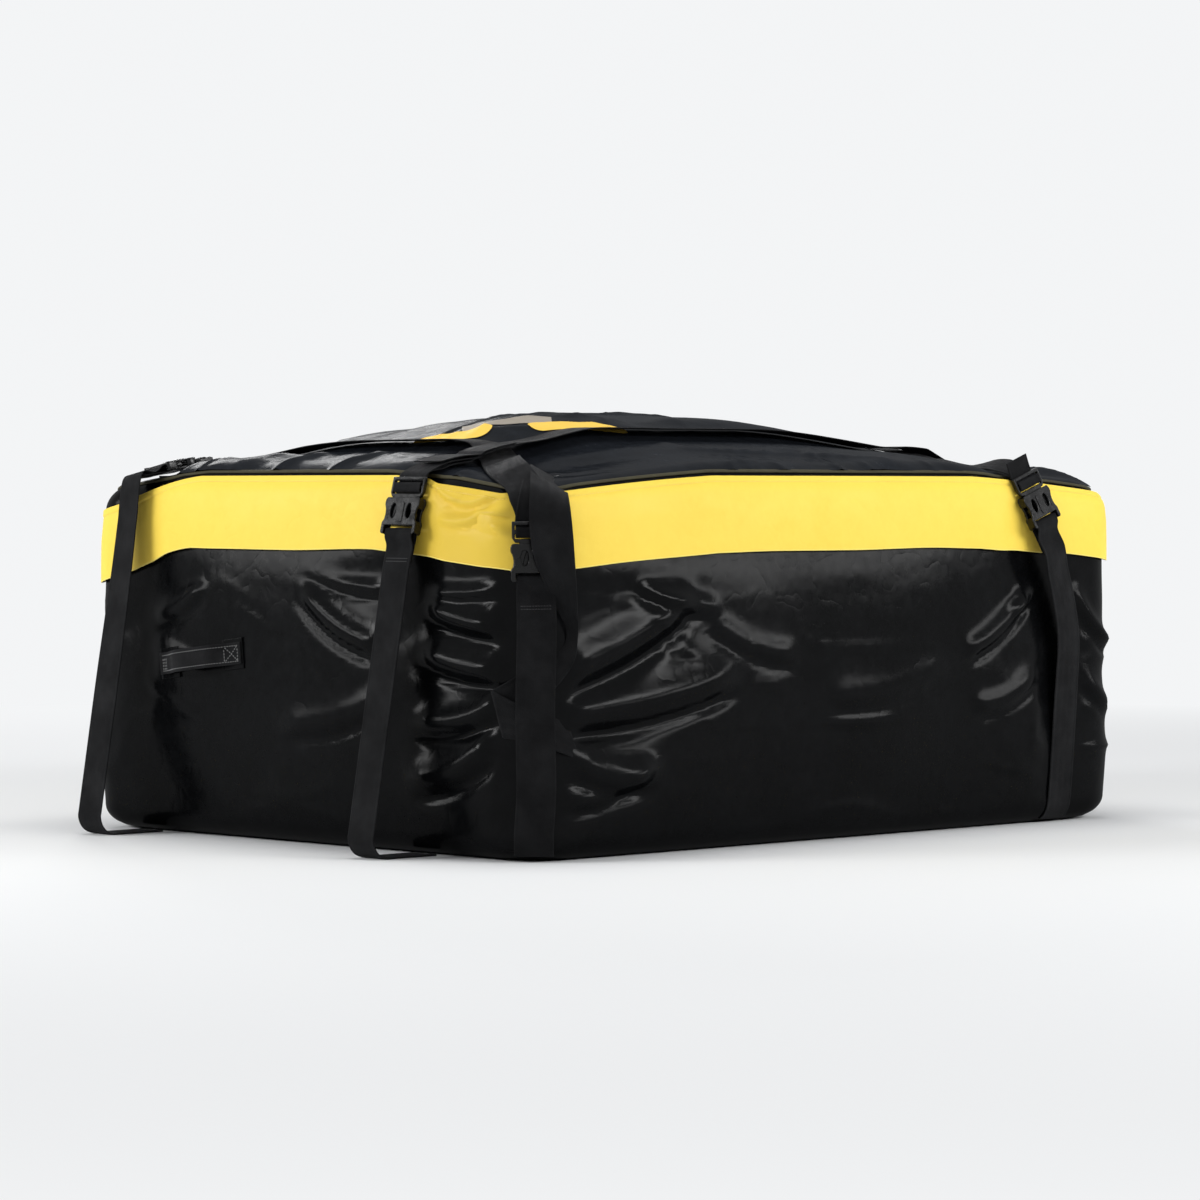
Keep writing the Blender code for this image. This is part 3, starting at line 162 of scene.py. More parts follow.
# %% A start for every finish
class Finish:
    """One Principled material and the few node patterns that the finishes share."""

    def __init__(self, name, colour, roughness, **settings):
        self.made = bpy.data.materials.new(name)
        self.made.use_nodes = True
        self.tree = self.made.node_tree
        self.shader = self.tree.nodes["Principled BSDF"]
        self.shader.inputs["Base Color"].default_value = (*colour, 1.0)
        self.shader.inputs["Roughness"].default_value = roughness
        for socket, value in settings.items():
            self.shader.inputs[socket.replace("_", " ")].default_value = value
        self.place = self.node("ShaderNodeTexCoord").outputs["Object"]
        self.made.diffuse_color = (*colour, 1.0)

    def node(self, kind, **settings):
        made = self.tree.nodes.new(kind)
        for name, value in settings.items():
            setattr(made, name, value)
        return made

    def link(self, source, target):
        self.tree.links.new(source, target)

    def math(self, operation, first, second=0.0, third=None):
        made = self.node("ShaderNodeMath", operation=operation)
        for socket, value in zip(made.inputs, (first, second, third)):
            if isinstance(value, bpy.types.NodeSocket):
                self.link(value, socket)
            elif value is not None:
                socket.default_value = value
        return made.outputs[0]

    def cloudy(self, size, detail=3.0, roughness=0.5):
        """Soft noise with features of this size in metres, 0 to 1."""
        made = self.node("ShaderNodeTexNoise")
        made.inputs["Scale"].default_value = 1.0 / size
        made.inputs["Detail"].default_value = detail
        made.inputs["Roughness"].default_value = roughness
        self.link(self.place, made.inputs["Vector"])
        return made.outputs["Fac"]

    def bands(self, count):
        """Fine slanting bands, this many to the metre."""
        made = self.node("ShaderNodeTexWave", wave_type="BANDS", bands_direction="DIAGONAL")
        made.inputs["Scale"].default_value = count
        self.link(self.place, made.inputs["Vector"])
        return made.outputs["Fac"]

    def span(self, value, low, high, to_low, to_high):
        """Maps one range of numbers to another, held at its ends."""
        made = self.node("ShaderNodeMapRange")
        self.link(value, made.inputs["Value"])
        for name, number in zip(("From Min", "From Max", "To Min", "To Max"), (low, high, to_low, to_high)):
            made.inputs[name].default_value = number
        return made.outputs[0]

    def tints(self, value, stops):
        """A colour ramp from (position, colour) pairs."""
        made = self.node("ShaderNodeValToRGB")
        ramp = made.color_ramp
        while len(ramp.elements) < len(stops):
            ramp.elements.new(0.5)
        for element, (position, colour) in zip(ramp.elements, stops):
            element.position = position
            element.color = (*colour, 1.0)
        self.link(value, made.inputs[0])
        return made.outputs[0]

    def bump(self, height, depth, before=None):
        """A bump of this depth in metres, on top of the one before."""
        made = self.node("ShaderNodeBump")
        made.inputs["Strength"].default_value = 1.0
        made.inputs["Distance"].default_value = depth
        self.link(height, made.inputs["Height"])
        if before is not None:
            self.link(before, made.inputs["Normal"])
        return made.outputs[0]

    def colour(self, socket):
        self.link(socket, self.shader.inputs["Base Color"])

    def rough(self, socket):
        self.link(socket, self.shader.inputs["Roughness"])

    def normal(self, socket):
        self.link(socket, self.shader.inputs["Normal"])


# %% [markdown]
# ## Coated fabric
# The shell is a woven base with a black PVC coating: smooth and shiny, but never quite flat. Three things
# make it read as such a fabric. Broad creases catch long highlights, small crumples break them up, and the
# weave shows faintly through the coating. Handling leaves duller patches, so the roughness varies too.


# %% Black coated fabric
WEAVE_BANDS, WEAVE_DEPTH = 260.0, 0.00002
CREASE_DEPTH, CRUMPLE_DEPTH = 0.0016, 0.00035


def coated_fabric(name, colour, dust, rough_low, rough_high, crumple, shine=0.20, painted_shade=None):
    """Colour, its dusty tone, the coating's roughness from and to, depth of the crumples and the shine."""
    finish = Finish(name, colour, 0.6, Specular_IOR_Level=0.0, Coat_Weight=shine, Coat_IOR=1.5)
    handled = finish.cloudy(0.11, 4.0, 0.6)
    scuffs = finish.cloudy(0.016, 5.0, 0.7)
    worn = finish.math("MULTIPLY", handled, scuffs)
    tinted = finish.tints(worn, ((0.10, colour), (0.55, dust)))
    if painted_shade:
        # painted shade: within its reach of one place, the colour turns to a darker shaded tone
        place, reach, shaded_colour = painted_shade
        away = finish.node("ShaderNodeVectorMath", operation="DISTANCE")
        away.inputs[1].default_value = place
        finish.link(finish.place, away.inputs[0])
        mix = finish.node("ShaderNodeMix", data_type="RGBA")
        finish.link(finish.span(away.outputs["Value"], reach * 0.55, reach, 1.0, 0.0), mix.inputs[0])
        finish.link(tinted, mix.inputs[6])
        mix.inputs[7].default_value = (*shaded_colour, 1.0)
        tinted = mix.outputs[2]
    finish.colour(tinted)
    finish.link(finish.span(worn, 0.12, 0.42, rough_low, rough_high), finish.shader.inputs["Coat Roughness"])
    creased = finish.cloudy(0.060, 2.0, 0.55)
    ridge = finish.math("ABSOLUTE", finish.math("SUBTRACT", creased, 0.5))
    ridge = finish.math("POWER", finish.math("MULTIPLY", ridge, 2.0), 0.55)
    small = finish.cloudy(0.012, 3.0, 0.5)
    bump = finish.bump(ridge, CREASE_DEPTH * crumple)
    bump = finish.bump(small, CRUMPLE_DEPTH * crumple, bump)
    bump = finish.bump(finish.bands(WEAVE_BANDS), WEAVE_DEPTH, bump)
    finish.normal(bump)
    finish.link(bump, finish.shader.inputs["Coat Normal"])
    return finish.made


BLACK, BLACK_DUST = (0.0018, 0.0019, 0.0021), (0.0044, 0.0047, 0.0053)
# painted sheen: the lid's colours are a lighter, bluish copy of the walls' black, with the same dusty patches
LID_BLACK_AND_SHEEN, LID_DUST_AND_SHEEN = (0.0070, 0.0080, 0.0101), (0.0170, 0.0197, 0.0246)
black_fabric = coated_fabric("coated_fabric_black", BLACK, BLACK_DUST, 0.12, 0.24, 0.20, 0.130)
lid_fabric = coated_fabric("coated_fabric_lid", LID_BLACK_AND_SHEEN, LID_DUST_AND_SHEEN, 0.15, 0.28, 0.30, 0.095)
print("coated fabrics", black_fabric.name, lid_fabric.name)

# %% Yellow coated fabric of the storm flap
YELLOW, YELLOW_DUST = (0.935, 0.690, 0.100), (0.88, 0.63, 0.085)
EDGE_YELLOW, EDGE_DUST = (0.97, 0.78, 0.20), (0.92, 0.72, 0.16)
# the place of the painted shade at the near corner, how far it reaches, and its darker shaded colour
CORNER_PAINTED_SHADE = ((-0.60, -0.345, 0.41), 0.155, (0.74, 0.52, 0.062))
yellow_fabric = coated_fabric("coated_fabric_yellow", YELLOW, YELLOW_DUST, 0.34, 0.50, 0.35, 0.30, CORNER_PAINTED_SHADE)
yellow_edge = coated_fabric("coated_fabric_yellow_edge", EDGE_YELLOW, EDGE_DUST, 0.50, 0.65, 0.2, 0.35)
print("yellow fabrics", yellow_fabric.name, yellow_edge.name)

# %% [markdown]
# ## Webbing
# Strap webbing is woven from thick polyester yarns: fine ribs across its width, a slightly raised edge on
# each side, and no shine except where it has rubbed. The pattern follows the strap, so it needs to know
# which way the strap runs. Each strap therefore carries a UV map in metres: U across and V along.


# %% Woven webbing
RIB, PICK = 0.0021, 0.0016
RIB_DEPTH, SELVEDGE_DEPTH, FUZZ_DEPTH = 0.00032, 0.0005, 0.00012


def woven(name, colour, worn, half_width):
    """Webbing whose ribs and yarns repeat after so many metres along and across."""
    finish = Finish(name, colour, 0.82, Sheen_Weight=0.06, Sheen_Roughness=0.45, Specular_IOR_Level=0.10)
    finish.shader.inputs["Sheen Tint"].default_value = (0.30, 0.30, 0.32, 1.0)
    uv = finish.node("ShaderNodeUVMap", uv_map="weave")
    split = finish.node("ShaderNodeSeparateXYZ")
    finish.link(uv.outputs[0], split.inputs[0])
    across, along = split.outputs[0], split.outputs[1]
    # rows of yarn lean one way and then the other, like a herringbone
    lean = finish.math("PINGPONG", across, half_width / 4)
    row = finish.math("SINE", finish.math("MULTIPLY", finish.math("ADD", along, lean), 2 * math.pi / RIB))
    pick = finish.math("SINE", finish.math("MULTIPLY", across, 2 * math.pi / PICK))
    yarn = finish.math("MULTIPLY_ADD", row, 0.7, finish.math("MULTIPLY", pick, 0.3))
    aside = finish.math("ABSOLUTE", across)
    selvedge = finish.span(aside, half_width - 0.0045, half_width - 0.0020, 0.0, 1.0)
    fuzz = finish.cloudy(0.0012, 2.0, 0.6)
    rubbed = finish.cloudy(0.045, 4.0, 0.6)
    light = finish.math("MULTIPLY_ADD", yarn, 0.18, finish.math("MULTIPLY", rubbed, 0.9))
    finish.colour(finish.tints(light, ((0.25, colour), (0.80, worn))))
    finish.rough(finish.span(rubbed, 0.3, 0.75, 0.90, 0.66))
    bump = finish.bump(yarn, RIB_DEPTH)
    bump = finish.bump(selvedge, SELVEDGE_DEPTH, bump)
    bump = finish.bump(fuzz, FUZZ_DEPTH, bump)
    finish.normal(bump)
    return finish.made


webbing = woven("webbing_black", (0.0032, 0.0033, 0.0037), (0.0115, 0.0117, 0.0128), 0.025)
handle_webbing = woven("handle_webbing_black", (0.0040, 0.0042, 0.0046), (0.012, 0.012, 0.013), 0.015)
print("webbings", webbing.name, handle_webbing.name)

# %% [markdown]
# ## Nylon and thread
# The buckles and the zip are moulded nylon, satin with a fine grain from the mould and duller where fingers
# touch it. Thread is twisted, which fine slanting bands show well enough at its size. Both could be plain
# colours, but close to they would look like wax.


# %% Moulded nylon and thread
def moulded(name, colour, roughness):
    finish = Finish(name, colour, roughness, Specular_IOR_Level=0.24)
    sparks = finish.cloudy(0.0009, 2.0, 0.5)
    handled = finish.cloudy(0.014, 3.0, 0.6)
    finish.rough(finish.span(handled, 0.3, 0.7, roughness - 0.08, roughness + 0.12))
    finish.normal(finish.bump(sparks, 0.00006))
    return finish.made


TWIST_BANDS = 420.0


def thread(name, colour):
    finish = Finish(name, colour, 0.7, Sheen_Weight=0.3)
    finish.normal(finish.bump(finish.bands(TWIST_BANDS), 0.00012))
    return finish.made


nylon = moulded("moulded_nylon_black", (0.0040, 0.0041, 0.0044), 0.20)
zip_nylon = moulded("zip_nylon_black", (0.012, 0.012, 0.013), 0.42)
yellow_thread = thread("thread_yellow", (0.86, 0.64, 0.12))
grey_thread = thread("thread_grey", (0.16, 0.16, 0.16))
black_thread = thread("thread_black", (0.022, 0.022, 0.024))
print("finishes", len(bpy.data.materials))

# %% Paper floor
# it melts into the pale background over these distances from the bag's middle
MELT_START, MELT_END = 1.3, 3.6
floor_finish = Finish("floor_paper", (0.84, 0.85, 0.86), 0.9, Specular_IOR_Level=0.1)
floor_finish.normal(floor_finish.bump(floor_finish.cloudy(0.02), 0.0003))
away_from_bag = floor_finish.node("ShaderNodeVectorMath", operation="LENGTH")
floor_finish.link(floor_finish.place, away_from_bag.inputs[0])
far = floor_finish.span(away_from_bag.outputs["Value"], MELT_START, MELT_END, 0.0, 1.0)
glow = floor_finish.node("ShaderNodeEmission")
glow.inputs["Color"].default_value = (*PALE, 1.0)
melt = floor_finish.node("ShaderNodeMixShader")
floor_finish.link(far, melt.inputs[0])
floor_finish.link(floor_finish.shader.outputs[0], melt.inputs[1])
floor_finish.link(glow.outputs[0], melt.inputs[2])
floor_finish.link(melt.outputs[0], floor_finish.tree.nodes["Material Output"].inputs["Surface"])
floor.data.materials.append(floor_finish.made)
print("floor finish", floor_finish.made.name)

# %% [markdown]
# ## The form of the filled bag
# A packed bag is a box that has been filled until its walls swell and its edges turn round. It could be
# inflated with a cloth solver, but then the straps, flap and zip would have nothing steady to lie on. Here
# it is a formula instead: it takes points on a plain box and moves them to the surface of the full bag, so
# that every other piece can ask where the surface is. The CAD body uses the same sizes.

# %% Sizes of the filled bag
BAG_LENGTH, BAG_WIDTH, WALL_HEIGHT = 1.17, 0.90, 0.480
CORNER_RADIUS, BASE_EDGE_RADIUS, LID_EDGE_RADIUS = 0.07, 0.032, 0.040
WALL_BULGE = 0.012
BELLY, BELLY_HEIGHT, BELLY_SPAN = 0.007, 0.10, 0.08
# the top edge rises by this much, from this height over this run, and fades this far in on the lid
EDGE_RISE, EDGE_RISE_FROM, EDGE_RISE_RUN, EDGE_RISE_INSET = 0.026, 0.17, 0.17, 0.22
HALF_LENGTH, HALF_WIDTH = BAG_LENGTH / 2, BAG_WIDTH / 2
FRONT_STRAP_Y, REAR_STRAP_Y = -HALF_WIDTH + 0.213, HALF_WIDTH - 0.180
LEFT_STRAP_X, RIGHT_STRAP_X = -HALF_LENGTH + 0.160, HALF_LENGTH - 0.230
perimeter = 2 * (BAG_LENGTH + BAG_WIDTH) - (8 - 2 * math.pi) * CORNER_RADIUS
print("walls", round(perimeter, 3), "m round before they swell")

# %% The crown of the load
CROWN_RISE = 0.085
# where the crown starts, in from the wall or out from the strap, and over what run it rises
CROWN_LEFT, CROWN_LEFT_RUN = 0.01, 0.31
CROWN_FRONT, CROWN_FRONT_RUN = 0.005, 0.30
CROWN_RIGHT, CROWN_RIGHT_RUN = 0.060, 0.075
CROWN_REAR, CROWN_REAR_RUN = 0.050, 0.085
# what share of it is lost towards the right and the rear, and over what run, from just past the middle
SAG_START = 0.02
SAG_RIGHT, SAG_RIGHT_RUN = 0.42, 0.40
SAG_REAR, SAG_REAR_RUN = 0.40, 0.28


def smooth(value):
    """0 below 0, 1 above 1, and an S-curve between."""
    t = np.clip(value, 0.0, 1.0)
    return t * t * (3.0 - 2.0 * t)


def crown(x, y):
    """How far the load lifts the lid: a plateau between the straps, with low corners outside them."""
    left = smooth((x + HALF_LENGTH - CROWN_LEFT) / CROWN_LEFT_RUN)
    front = smooth((y + HALF_WIDTH - CROWN_FRONT) / CROWN_FRONT_RUN)
    right = smooth((RIGHT_STRAP_X + CROWN_RIGHT - x) / CROWN_RIGHT_RUN)
    right = right * (1.0 - SAG_RIGHT * smooth((x - SAG_START) / SAG_RIGHT_RUN))
    rear = smooth((REAR_STRAP_Y + CROWN_REAR - y) / CROWN_REAR_RUN)
    rear = rear * (1.0 - SAG_REAR * smooth((y - SAG_START) / SAG_REAR_RUN))
    return CROWN_RISE * left * right * front * rear


print("crown", round(float(crown(0.0, 0.0)) * 1000), "mm high in the middle of the lid")


# %% From the plain box to the full bag
def full_form(box_points):
    """Moves points on the faces of the plain box to the smooth surface of the filled bag."""
    x, y, z = box_points[:, 0], box_points[:, 1], box_points[:, 2]
    ring = np.clip(np.maximum(np.abs(x) / HALF_LENGTH, np.abs(y) / HALF_WIDTH), 1e-6, 1.0)
    rim = np.stack((x / ring, y / ring), axis=1)
    reach = np.array((HALF_LENGTH, HALF_WIDTH)) - CORNER_RADIUS
    core = np.clip(rim, -reach, reach)
    out = rim - core
    out /= np.maximum(np.linalg.norm(out, axis=1), 1e-12)[:, None]
    rim = core + CORNER_RADIUS * out
    # round the edges between the walls and the lid or the base
    inset = (1.0 - ring) * HALF_WIDTH
    radius = np.where(z > WALL_HEIGHT / 2, LID_EDGE_RADIUS, BASE_EDGE_RADIUS)
    core_inset = np.maximum(inset, radius)
    core_z = np.clip(z, BASE_EDGE_RADIUS, WALL_HEIGHT - LID_EDGE_RADIUS)
    aside, up = core_inset - inset, z - core_z
    away = np.maximum(np.hypot(aside, up), 1e-9)
    round_by = np.where(away > 1e-8, radius / away, 1.0)
    aside, up = aside * round_by, up * round_by
    inset, z = core_inset - aside, core_z + up
    wallness, lidness = aside / radius, np.clip(up / radius, 0.0, 1.0)
    plan = rim * (1.0 - inset / HALF_WIDTH)[:, None]
    # the walls bulge, and hang out a little over the base
    height = np.clip(z / WALL_HEIGHT, 0.0, 1.0)
    across_x = out[:, 0] ** 2 * (1.0 - (plan[:, 1] / HALF_WIDTH) ** 2)
    across_y = out[:, 1] ** 2 * (1.0 - (plan[:, 0] / HALF_LENGTH) ** 2)
    push = WALL_BULGE * np.sin(math.pi * height) * (across_x + across_y)
    push += BELLY * np.exp(-(((z - BELLY_HEIGHT) / BELLY_SPAN) ** 2))
    plan = plan + out * (push * wallness)[:, None]
    # the top edge rides up between the straps, and the load lifts the lid
    swell_x = 1.0 - (rim[:, 0] / HALF_LENGTH) ** 2
    swell_y = 1.0 - (rim[:, 1] / HALF_WIDTH) ** 2
    swell = np.minimum(1.0, 1.25 * (swell_x * out[:, 1] ** 2 + swell_y * out[:, 0] ** 2))
    risen = smooth((z - EDGE_RISE_FROM) / EDGE_RISE_RUN)
    edge = EDGE_RISE * swell * risen * smooth(1.0 - inset / EDGE_RISE_INSET)
    z = z + edge + crown(plan[:, 0], plan[:, 1]) * lidness
    return np.stack((plan[:, 0], plan[:, 1], z), axis=1)


# %% Grids of box points
CELL = 0.0052
# an even number of cells each way, so that every second point makes a coarser grid of the same form
ALONG_X = np.linspace(-HALF_LENGTH, HALF_LENGTH, 2 * int(BAG_LENGTH / CELL / 2) + 1)
ALONG_Y = np.linspace(-HALF_WIDTH, HALF_WIDTH, 2 * int(BAG_WIDTH / CELL / 2) + 1)


def box_outline():
    """Points round the plain box, front wall first, then right, rear and left."""
    front = [(x, -HALF_WIDTH) for x in ALONG_X[:-1]]
    right = [(HALF_LENGTH, y) for y in ALONG_Y[:-1]]
    rear = [(x, HALF_WIDTH) for x in ALONG_X[:0:-1]]
    left = [(-HALF_LENGTH, y) for y in ALONG_Y[:0:-1]]
    return np.array(front + right + rear + left)


OUTLINE = box_outline()


def wall_points(height, ring=1.0):
    """The outline at one height, drawn in towards the middle where ring is below 1."""
    heights = np.broadcast_to(height, (len(OUTLINE),))
    return np.column_stack((OUTLINE * ring, heights))


def lid_points():
    grid_x, grid_y = np.meshgrid(ALONG_X, ALONG_Y, indexing="ij")
    return np.column_stack((grid_x.ravel(), grid_y.ravel(), np.full(grid_x.size, WALL_HEIGHT)))


print("outline", len(OUTLINE), "points, lid", len(ALONG_X) * len(ALONG_Y), "points")

# %% [markdown]
# ## Where the straps run
# A tight strap takes the shortest way over what it presses on. In the upright plane of the strap that is
# easy to find: shoot rays at the form from all round, then pull each point in to the straight line between
# its neighbours, but never below the form. The straps come first, because the fabric is pressed in under
# them and gathers beside them.


# %% Meshes from rows of points
def grid_mesh(name, rows, closed):
    """A mesh of quads from rows of points, closed into a ring if asked."""
    points = np.concatenate(rows)
    count, wide = len(rows), len(rows[0])
    ahead = np.arange(wide) if closed else np.arange(wide - 1)
    after = (ahead + 1) % wide
    faces = []
    for n in range(count - 1):
        low, high = n * wide, (n + 1) * wide
        faces.append(np.stack((low + ahead, low + after, high + after, high + ahead), axis=1))
    made = bpy.data.meshes.new(name)
    made.from_pydata(points.tolist(), [], np.concatenate(faces).tolist())
    made.update()
    return made


def add_piece(name, mesh_data, *finishes):
    made = bpy.data.objects.new(name, mesh_data)
    bpy.context.scene.collection.objects.link(made)
    for finish in finishes:
        made.data.materials.append(finish)
    made.data.shade_smooth()
    return made


# %% Surfaces that answer rays
class Ground:
    """Surfaces that something can be laid on."""

    def __init__(self):
        self.trees = []

    def add(self, mesh_data):
        form = bmesh.new()
        form.from_mesh(mesh_data)
        self.trees.append(BVHTree.FromBMesh(form))
        form.free()

    def distance(self, origin, direction, reach=2.0):
        """Distance to the first surface, or None."""
        found = [tree.ray_cast(Vector(origin), Vector(direction), reach)[3] for tree in self.trees]
        found = [value for value in found if value is not None]
        return min(found) if found else None


def unit(vector):
    return np.asarray(vector, float) / max(np.linalg.norm(vector), 1e-12)


PLAIN_ROWS = 41
plain_rows = [full_form(wall_points(height)) for height in np.linspace(0.0, WALL_HEIGHT, PLAIN_ROWS)]
plain_walls = grid_mesh("plain_walls", plain_rows, True)
plain_lid = grid_mesh("plain_lid", list(full_form(lid_points()).reshape(len(ALONG_X), -1, 3)), False)
form_ground = Ground()
form_ground.add(plain_walls)
form_ground.add(plain_lid)
print("plain form", len(plain_walls.polygons) + len(plain_lid.polygons), "faces")

# %% The eight strap ends
# how far out the straps go round the rack's rails, the radius of their curl there, and its height
LEG_REACH, LEG_CURL_RADIUS, LEG_FLOOR = 0.680, 0.026, 0.0012
# a strap turns aside between these two angles about its pivot, measured from the lid's edge
HIGH_TURN, LOW_TURN = (0.50, -0.05), (0.13, -0.48)
CORNER_X, RIGHT_WALL_X, REAR_WALL_Y = -HALF_LENGTH + 0.0205, HALF_LENGTH - 0.143, HALF_WIDTH - 0.128

# the axis each end runs along and its side, its place aside on the lid and at the wall, which way that
# wall faces, whether it reaches out to the rack, and where it turns from one place aside to the other
STRAP_ENDS = {
    "front_left": (1, -1, LEFT_STRAP_X, CORNER_X, (-0.70, -0.71), False, HIGH_TURN),
    "rear_left": (1, 1, LEFT_STRAP_X, LEFT_STRAP_X, (0.0, 1.0), False, HIGH_TURN),
    "front_right": (1, -1, RIGHT_STRAP_X, RIGHT_WALL_X, (0.0, -1.0), False, LOW_TURN),
    "rear_right": (1, 1, RIGHT_STRAP_X, RIGHT_STRAP_X, (0.0, 1.0), False, HIGH_TURN),
    "left_front": (0, -1, FRONT_STRAP_Y, FRONT_STRAP_Y, (-1.0, 0.0), True, HIGH_TURN),
    "right_front": (0, 1, FRONT_STRAP_Y, FRONT_STRAP_Y, (1.0, 0.0), True, HIGH_TURN),
    "left_rear": (0, -1, REAR_STRAP_Y, REAR_WALL_Y, (-1.0, 0.0), True, HIGH_TURN),
    "right_rear": (0, 1, REAR_STRAP_Y, REAR_WALL_Y, (1.0, 0.0), True, HIGH_TURN),
}
print("strap ends", len(STRAP_ENDS))


# %% The tight line over the form
PIVOT_SHARE, FAR_OUT, TIGHT_POINTS = 0.42, 1.2, 180


def pulled_tight(angles, radii):
    """The tight line over points given by angle and radius: the corners of their hull, joined straight."""
    flat = np.column_stack((radii * np.cos(angles), radii * np.sin(angles)))
    kept = []
    for n, point in enumerate(flat):
        while len(kept) > 1:
            one, two = flat[kept[-2]], flat[kept[-1]]
            if (two[0] - one[0]) * (point[1] - two[1]) - (two[1] - one[1]) * (point[0] - two[0]) < 0.0:
                break
            kept.pop()
        kept.append(n)
    tight = radii.copy()
    for first, last in zip(kept[:-1], kept[1:]):
        a, b = angles[first], angles[last]
        inside = angles[first : last + 1]
        tight[first : last + 1] = (
            radii[first] * radii[last] * np.sin(a - b)
            / (radii[first] * np.sin(a - inside) + radii[last] * np.sin(inside - b))
        )
    return tight


def tight_line(end):
    """The line of a strap from the middle of the lid over one edge and down to its foot."""
    axis, side, on_lid, at_wall, _, reaches_out, (turn_from, turn_to) = STRAP_ENDS[end]
    half = (HALF_LENGTH, HALF_WIDTH)[axis]
    pivot_z = PIVOT_SHARE * WALL_HEIGHT
    shoulder = math.atan2(WALL_HEIGHT - pivot_z, half)
    foot = (half, BASE_EDGE_RADIUS - pivot_z)
    if reaches_out:
        foot = (LEG_REACH, LEG_CURL_RADIUS + LEG_FLOOR - pivot_z)
    angles = np.linspace(math.pi / 2, math.atan2(foot[1], foot[0]), TIGHT_POINTS)
    turned = smooth((shoulder + turn_from - angles) / (turn_from - turn_to))
    asides = on_lid + (at_wall - on_lid) * turned
    radii = []
    for angle, aside in zip(angles, asides):
        ray = np.zeros(3)
        ray[axis], ray[2] = side * math.cos(angle), math.sin(angle)
        start = ray * FAR_OUT
        start[1 - axis] = aside
        start[2] += pivot_z
        radii.append(FAR_OUT - form_ground.distance(start, -ray))
    if reaches_out:
        radii[-1] = math.hypot(*foot)
    radii = pulled_tight(angles, np.array(radii))
    line = np.zeros((len(angles), 3))
    line[:, axis] = side * radii * np.cos(angles)
    line[:, 1 - axis] = asides
    line[:, 2] = pivot_z + radii * np.sin(angles)
    return line


TIGHT_LINES = {end: tight_line(end) for end in STRAP_ENDS}


# %% Resampling a line
def arc(line):
    """Distance along a line to each of its points."""
    return np.concatenate(([0.0], np.cumsum(np.linalg.norm(np.diff(line, axis=0), axis=1))))


def picked(table, lengths, wanted):
    """Rows of a table of three columns at the wanted lengths along its line."""
    return np.stack([np.interp(wanted, lengths, table[:, n]) for n in range(3)], axis=-1)


def at(line, distance):
    """The point of a line at this distance along it."""
    return picked(line, arc(line), distance)


def stretch(line, start, stop, step=0.004):
    """Evenly spaced points of a line from one distance along it to another."""
    wanted = np.linspace(start, stop, max(2, int(round(abs(stop - start) / step)) + 1))
    return picked(line, arc(line), wanted)


def eased(knots, step=0.003):
    """A smooth curve through rows of numbers, the first three of which are a place."""
    knots = np.asarray(knots, float)
    padded = np.vstack((2 * knots[0] - knots[1], knots, 2 * knots[-1] - knots[-2]))
    made = []
    for n in range(len(knots) - 1):
        p0, p1, p2, p3 = padded[n : n + 4]
        count = max(1, int(round(np.linalg.norm(p2[:3] - p1[:3]) / step)))
        for t in np.arange(count) / count:
            made.append(0.5 * (2 * p1 + (p2 - p0) * t + (2 * p0 - 5 * p1 + 4 * p2 - p3) * t**2
                               + (3 * p1 - p0 - 3 * p2 + p3) * t**3))
    made.append(knots[-1])
    return np.array(made)


for end, line in TIGHT_LINES.items():
    print(end, "strap line", round(float(arc(line)[-1]), 3), "m")

# %% [markdown]
# ## Folds and creases
# Where a strap bites into a soft wall, the cloth beside it gathers into a few long folds, and the load
# inside pushes out lumps between them. The folds at the near corner decide how the bag looks, so they are
# placed one by one. The rest is smooth noise, pulled out in the direction in which the cloth is stretched.
# Everything fades where the straps and the flap hold the wall flat.

# %% Smooth noise
SEED, LATTICE_SIDE = 12, 32
LATTICE = np.random.default_rng(SEED).uniform(-1.0, 1.0, (LATTICE_SIDE,) * 3)


def hills(points, size):
    """Smooth random hills and dips of about this size, -1 to 1. Size is one number or one per axis."""
    scaled = points / np.asarray(size) + 100.0
    low = np.floor(scaled).astype(int)
    part = smooth(scaled - low)
    total = np.zeros(len(points))
    for corner in np.ndindex(2, 2, 2):
        share = np.prod(np.where(corner, part, 1.0 - part), axis=1)
        cell = (low + corner) % LATTICE_SIDE
        total += share * LATTICE[cell[:, 0], cell[:, 1], cell[:, 2]]
    return total


def ridges(points, size, sharpness=3.0):
    """Narrow creases that wander between broad smooth patches, 0 to 1."""
    wandering = np.stack([hills(points + shift, size) for shift in (3.1, 7.7, 5.3)], 1)
    moved = points + 0.45 * np.min(size) * wandering
    return (1.0 - np.abs(hills(moved, size))) ** sharpness
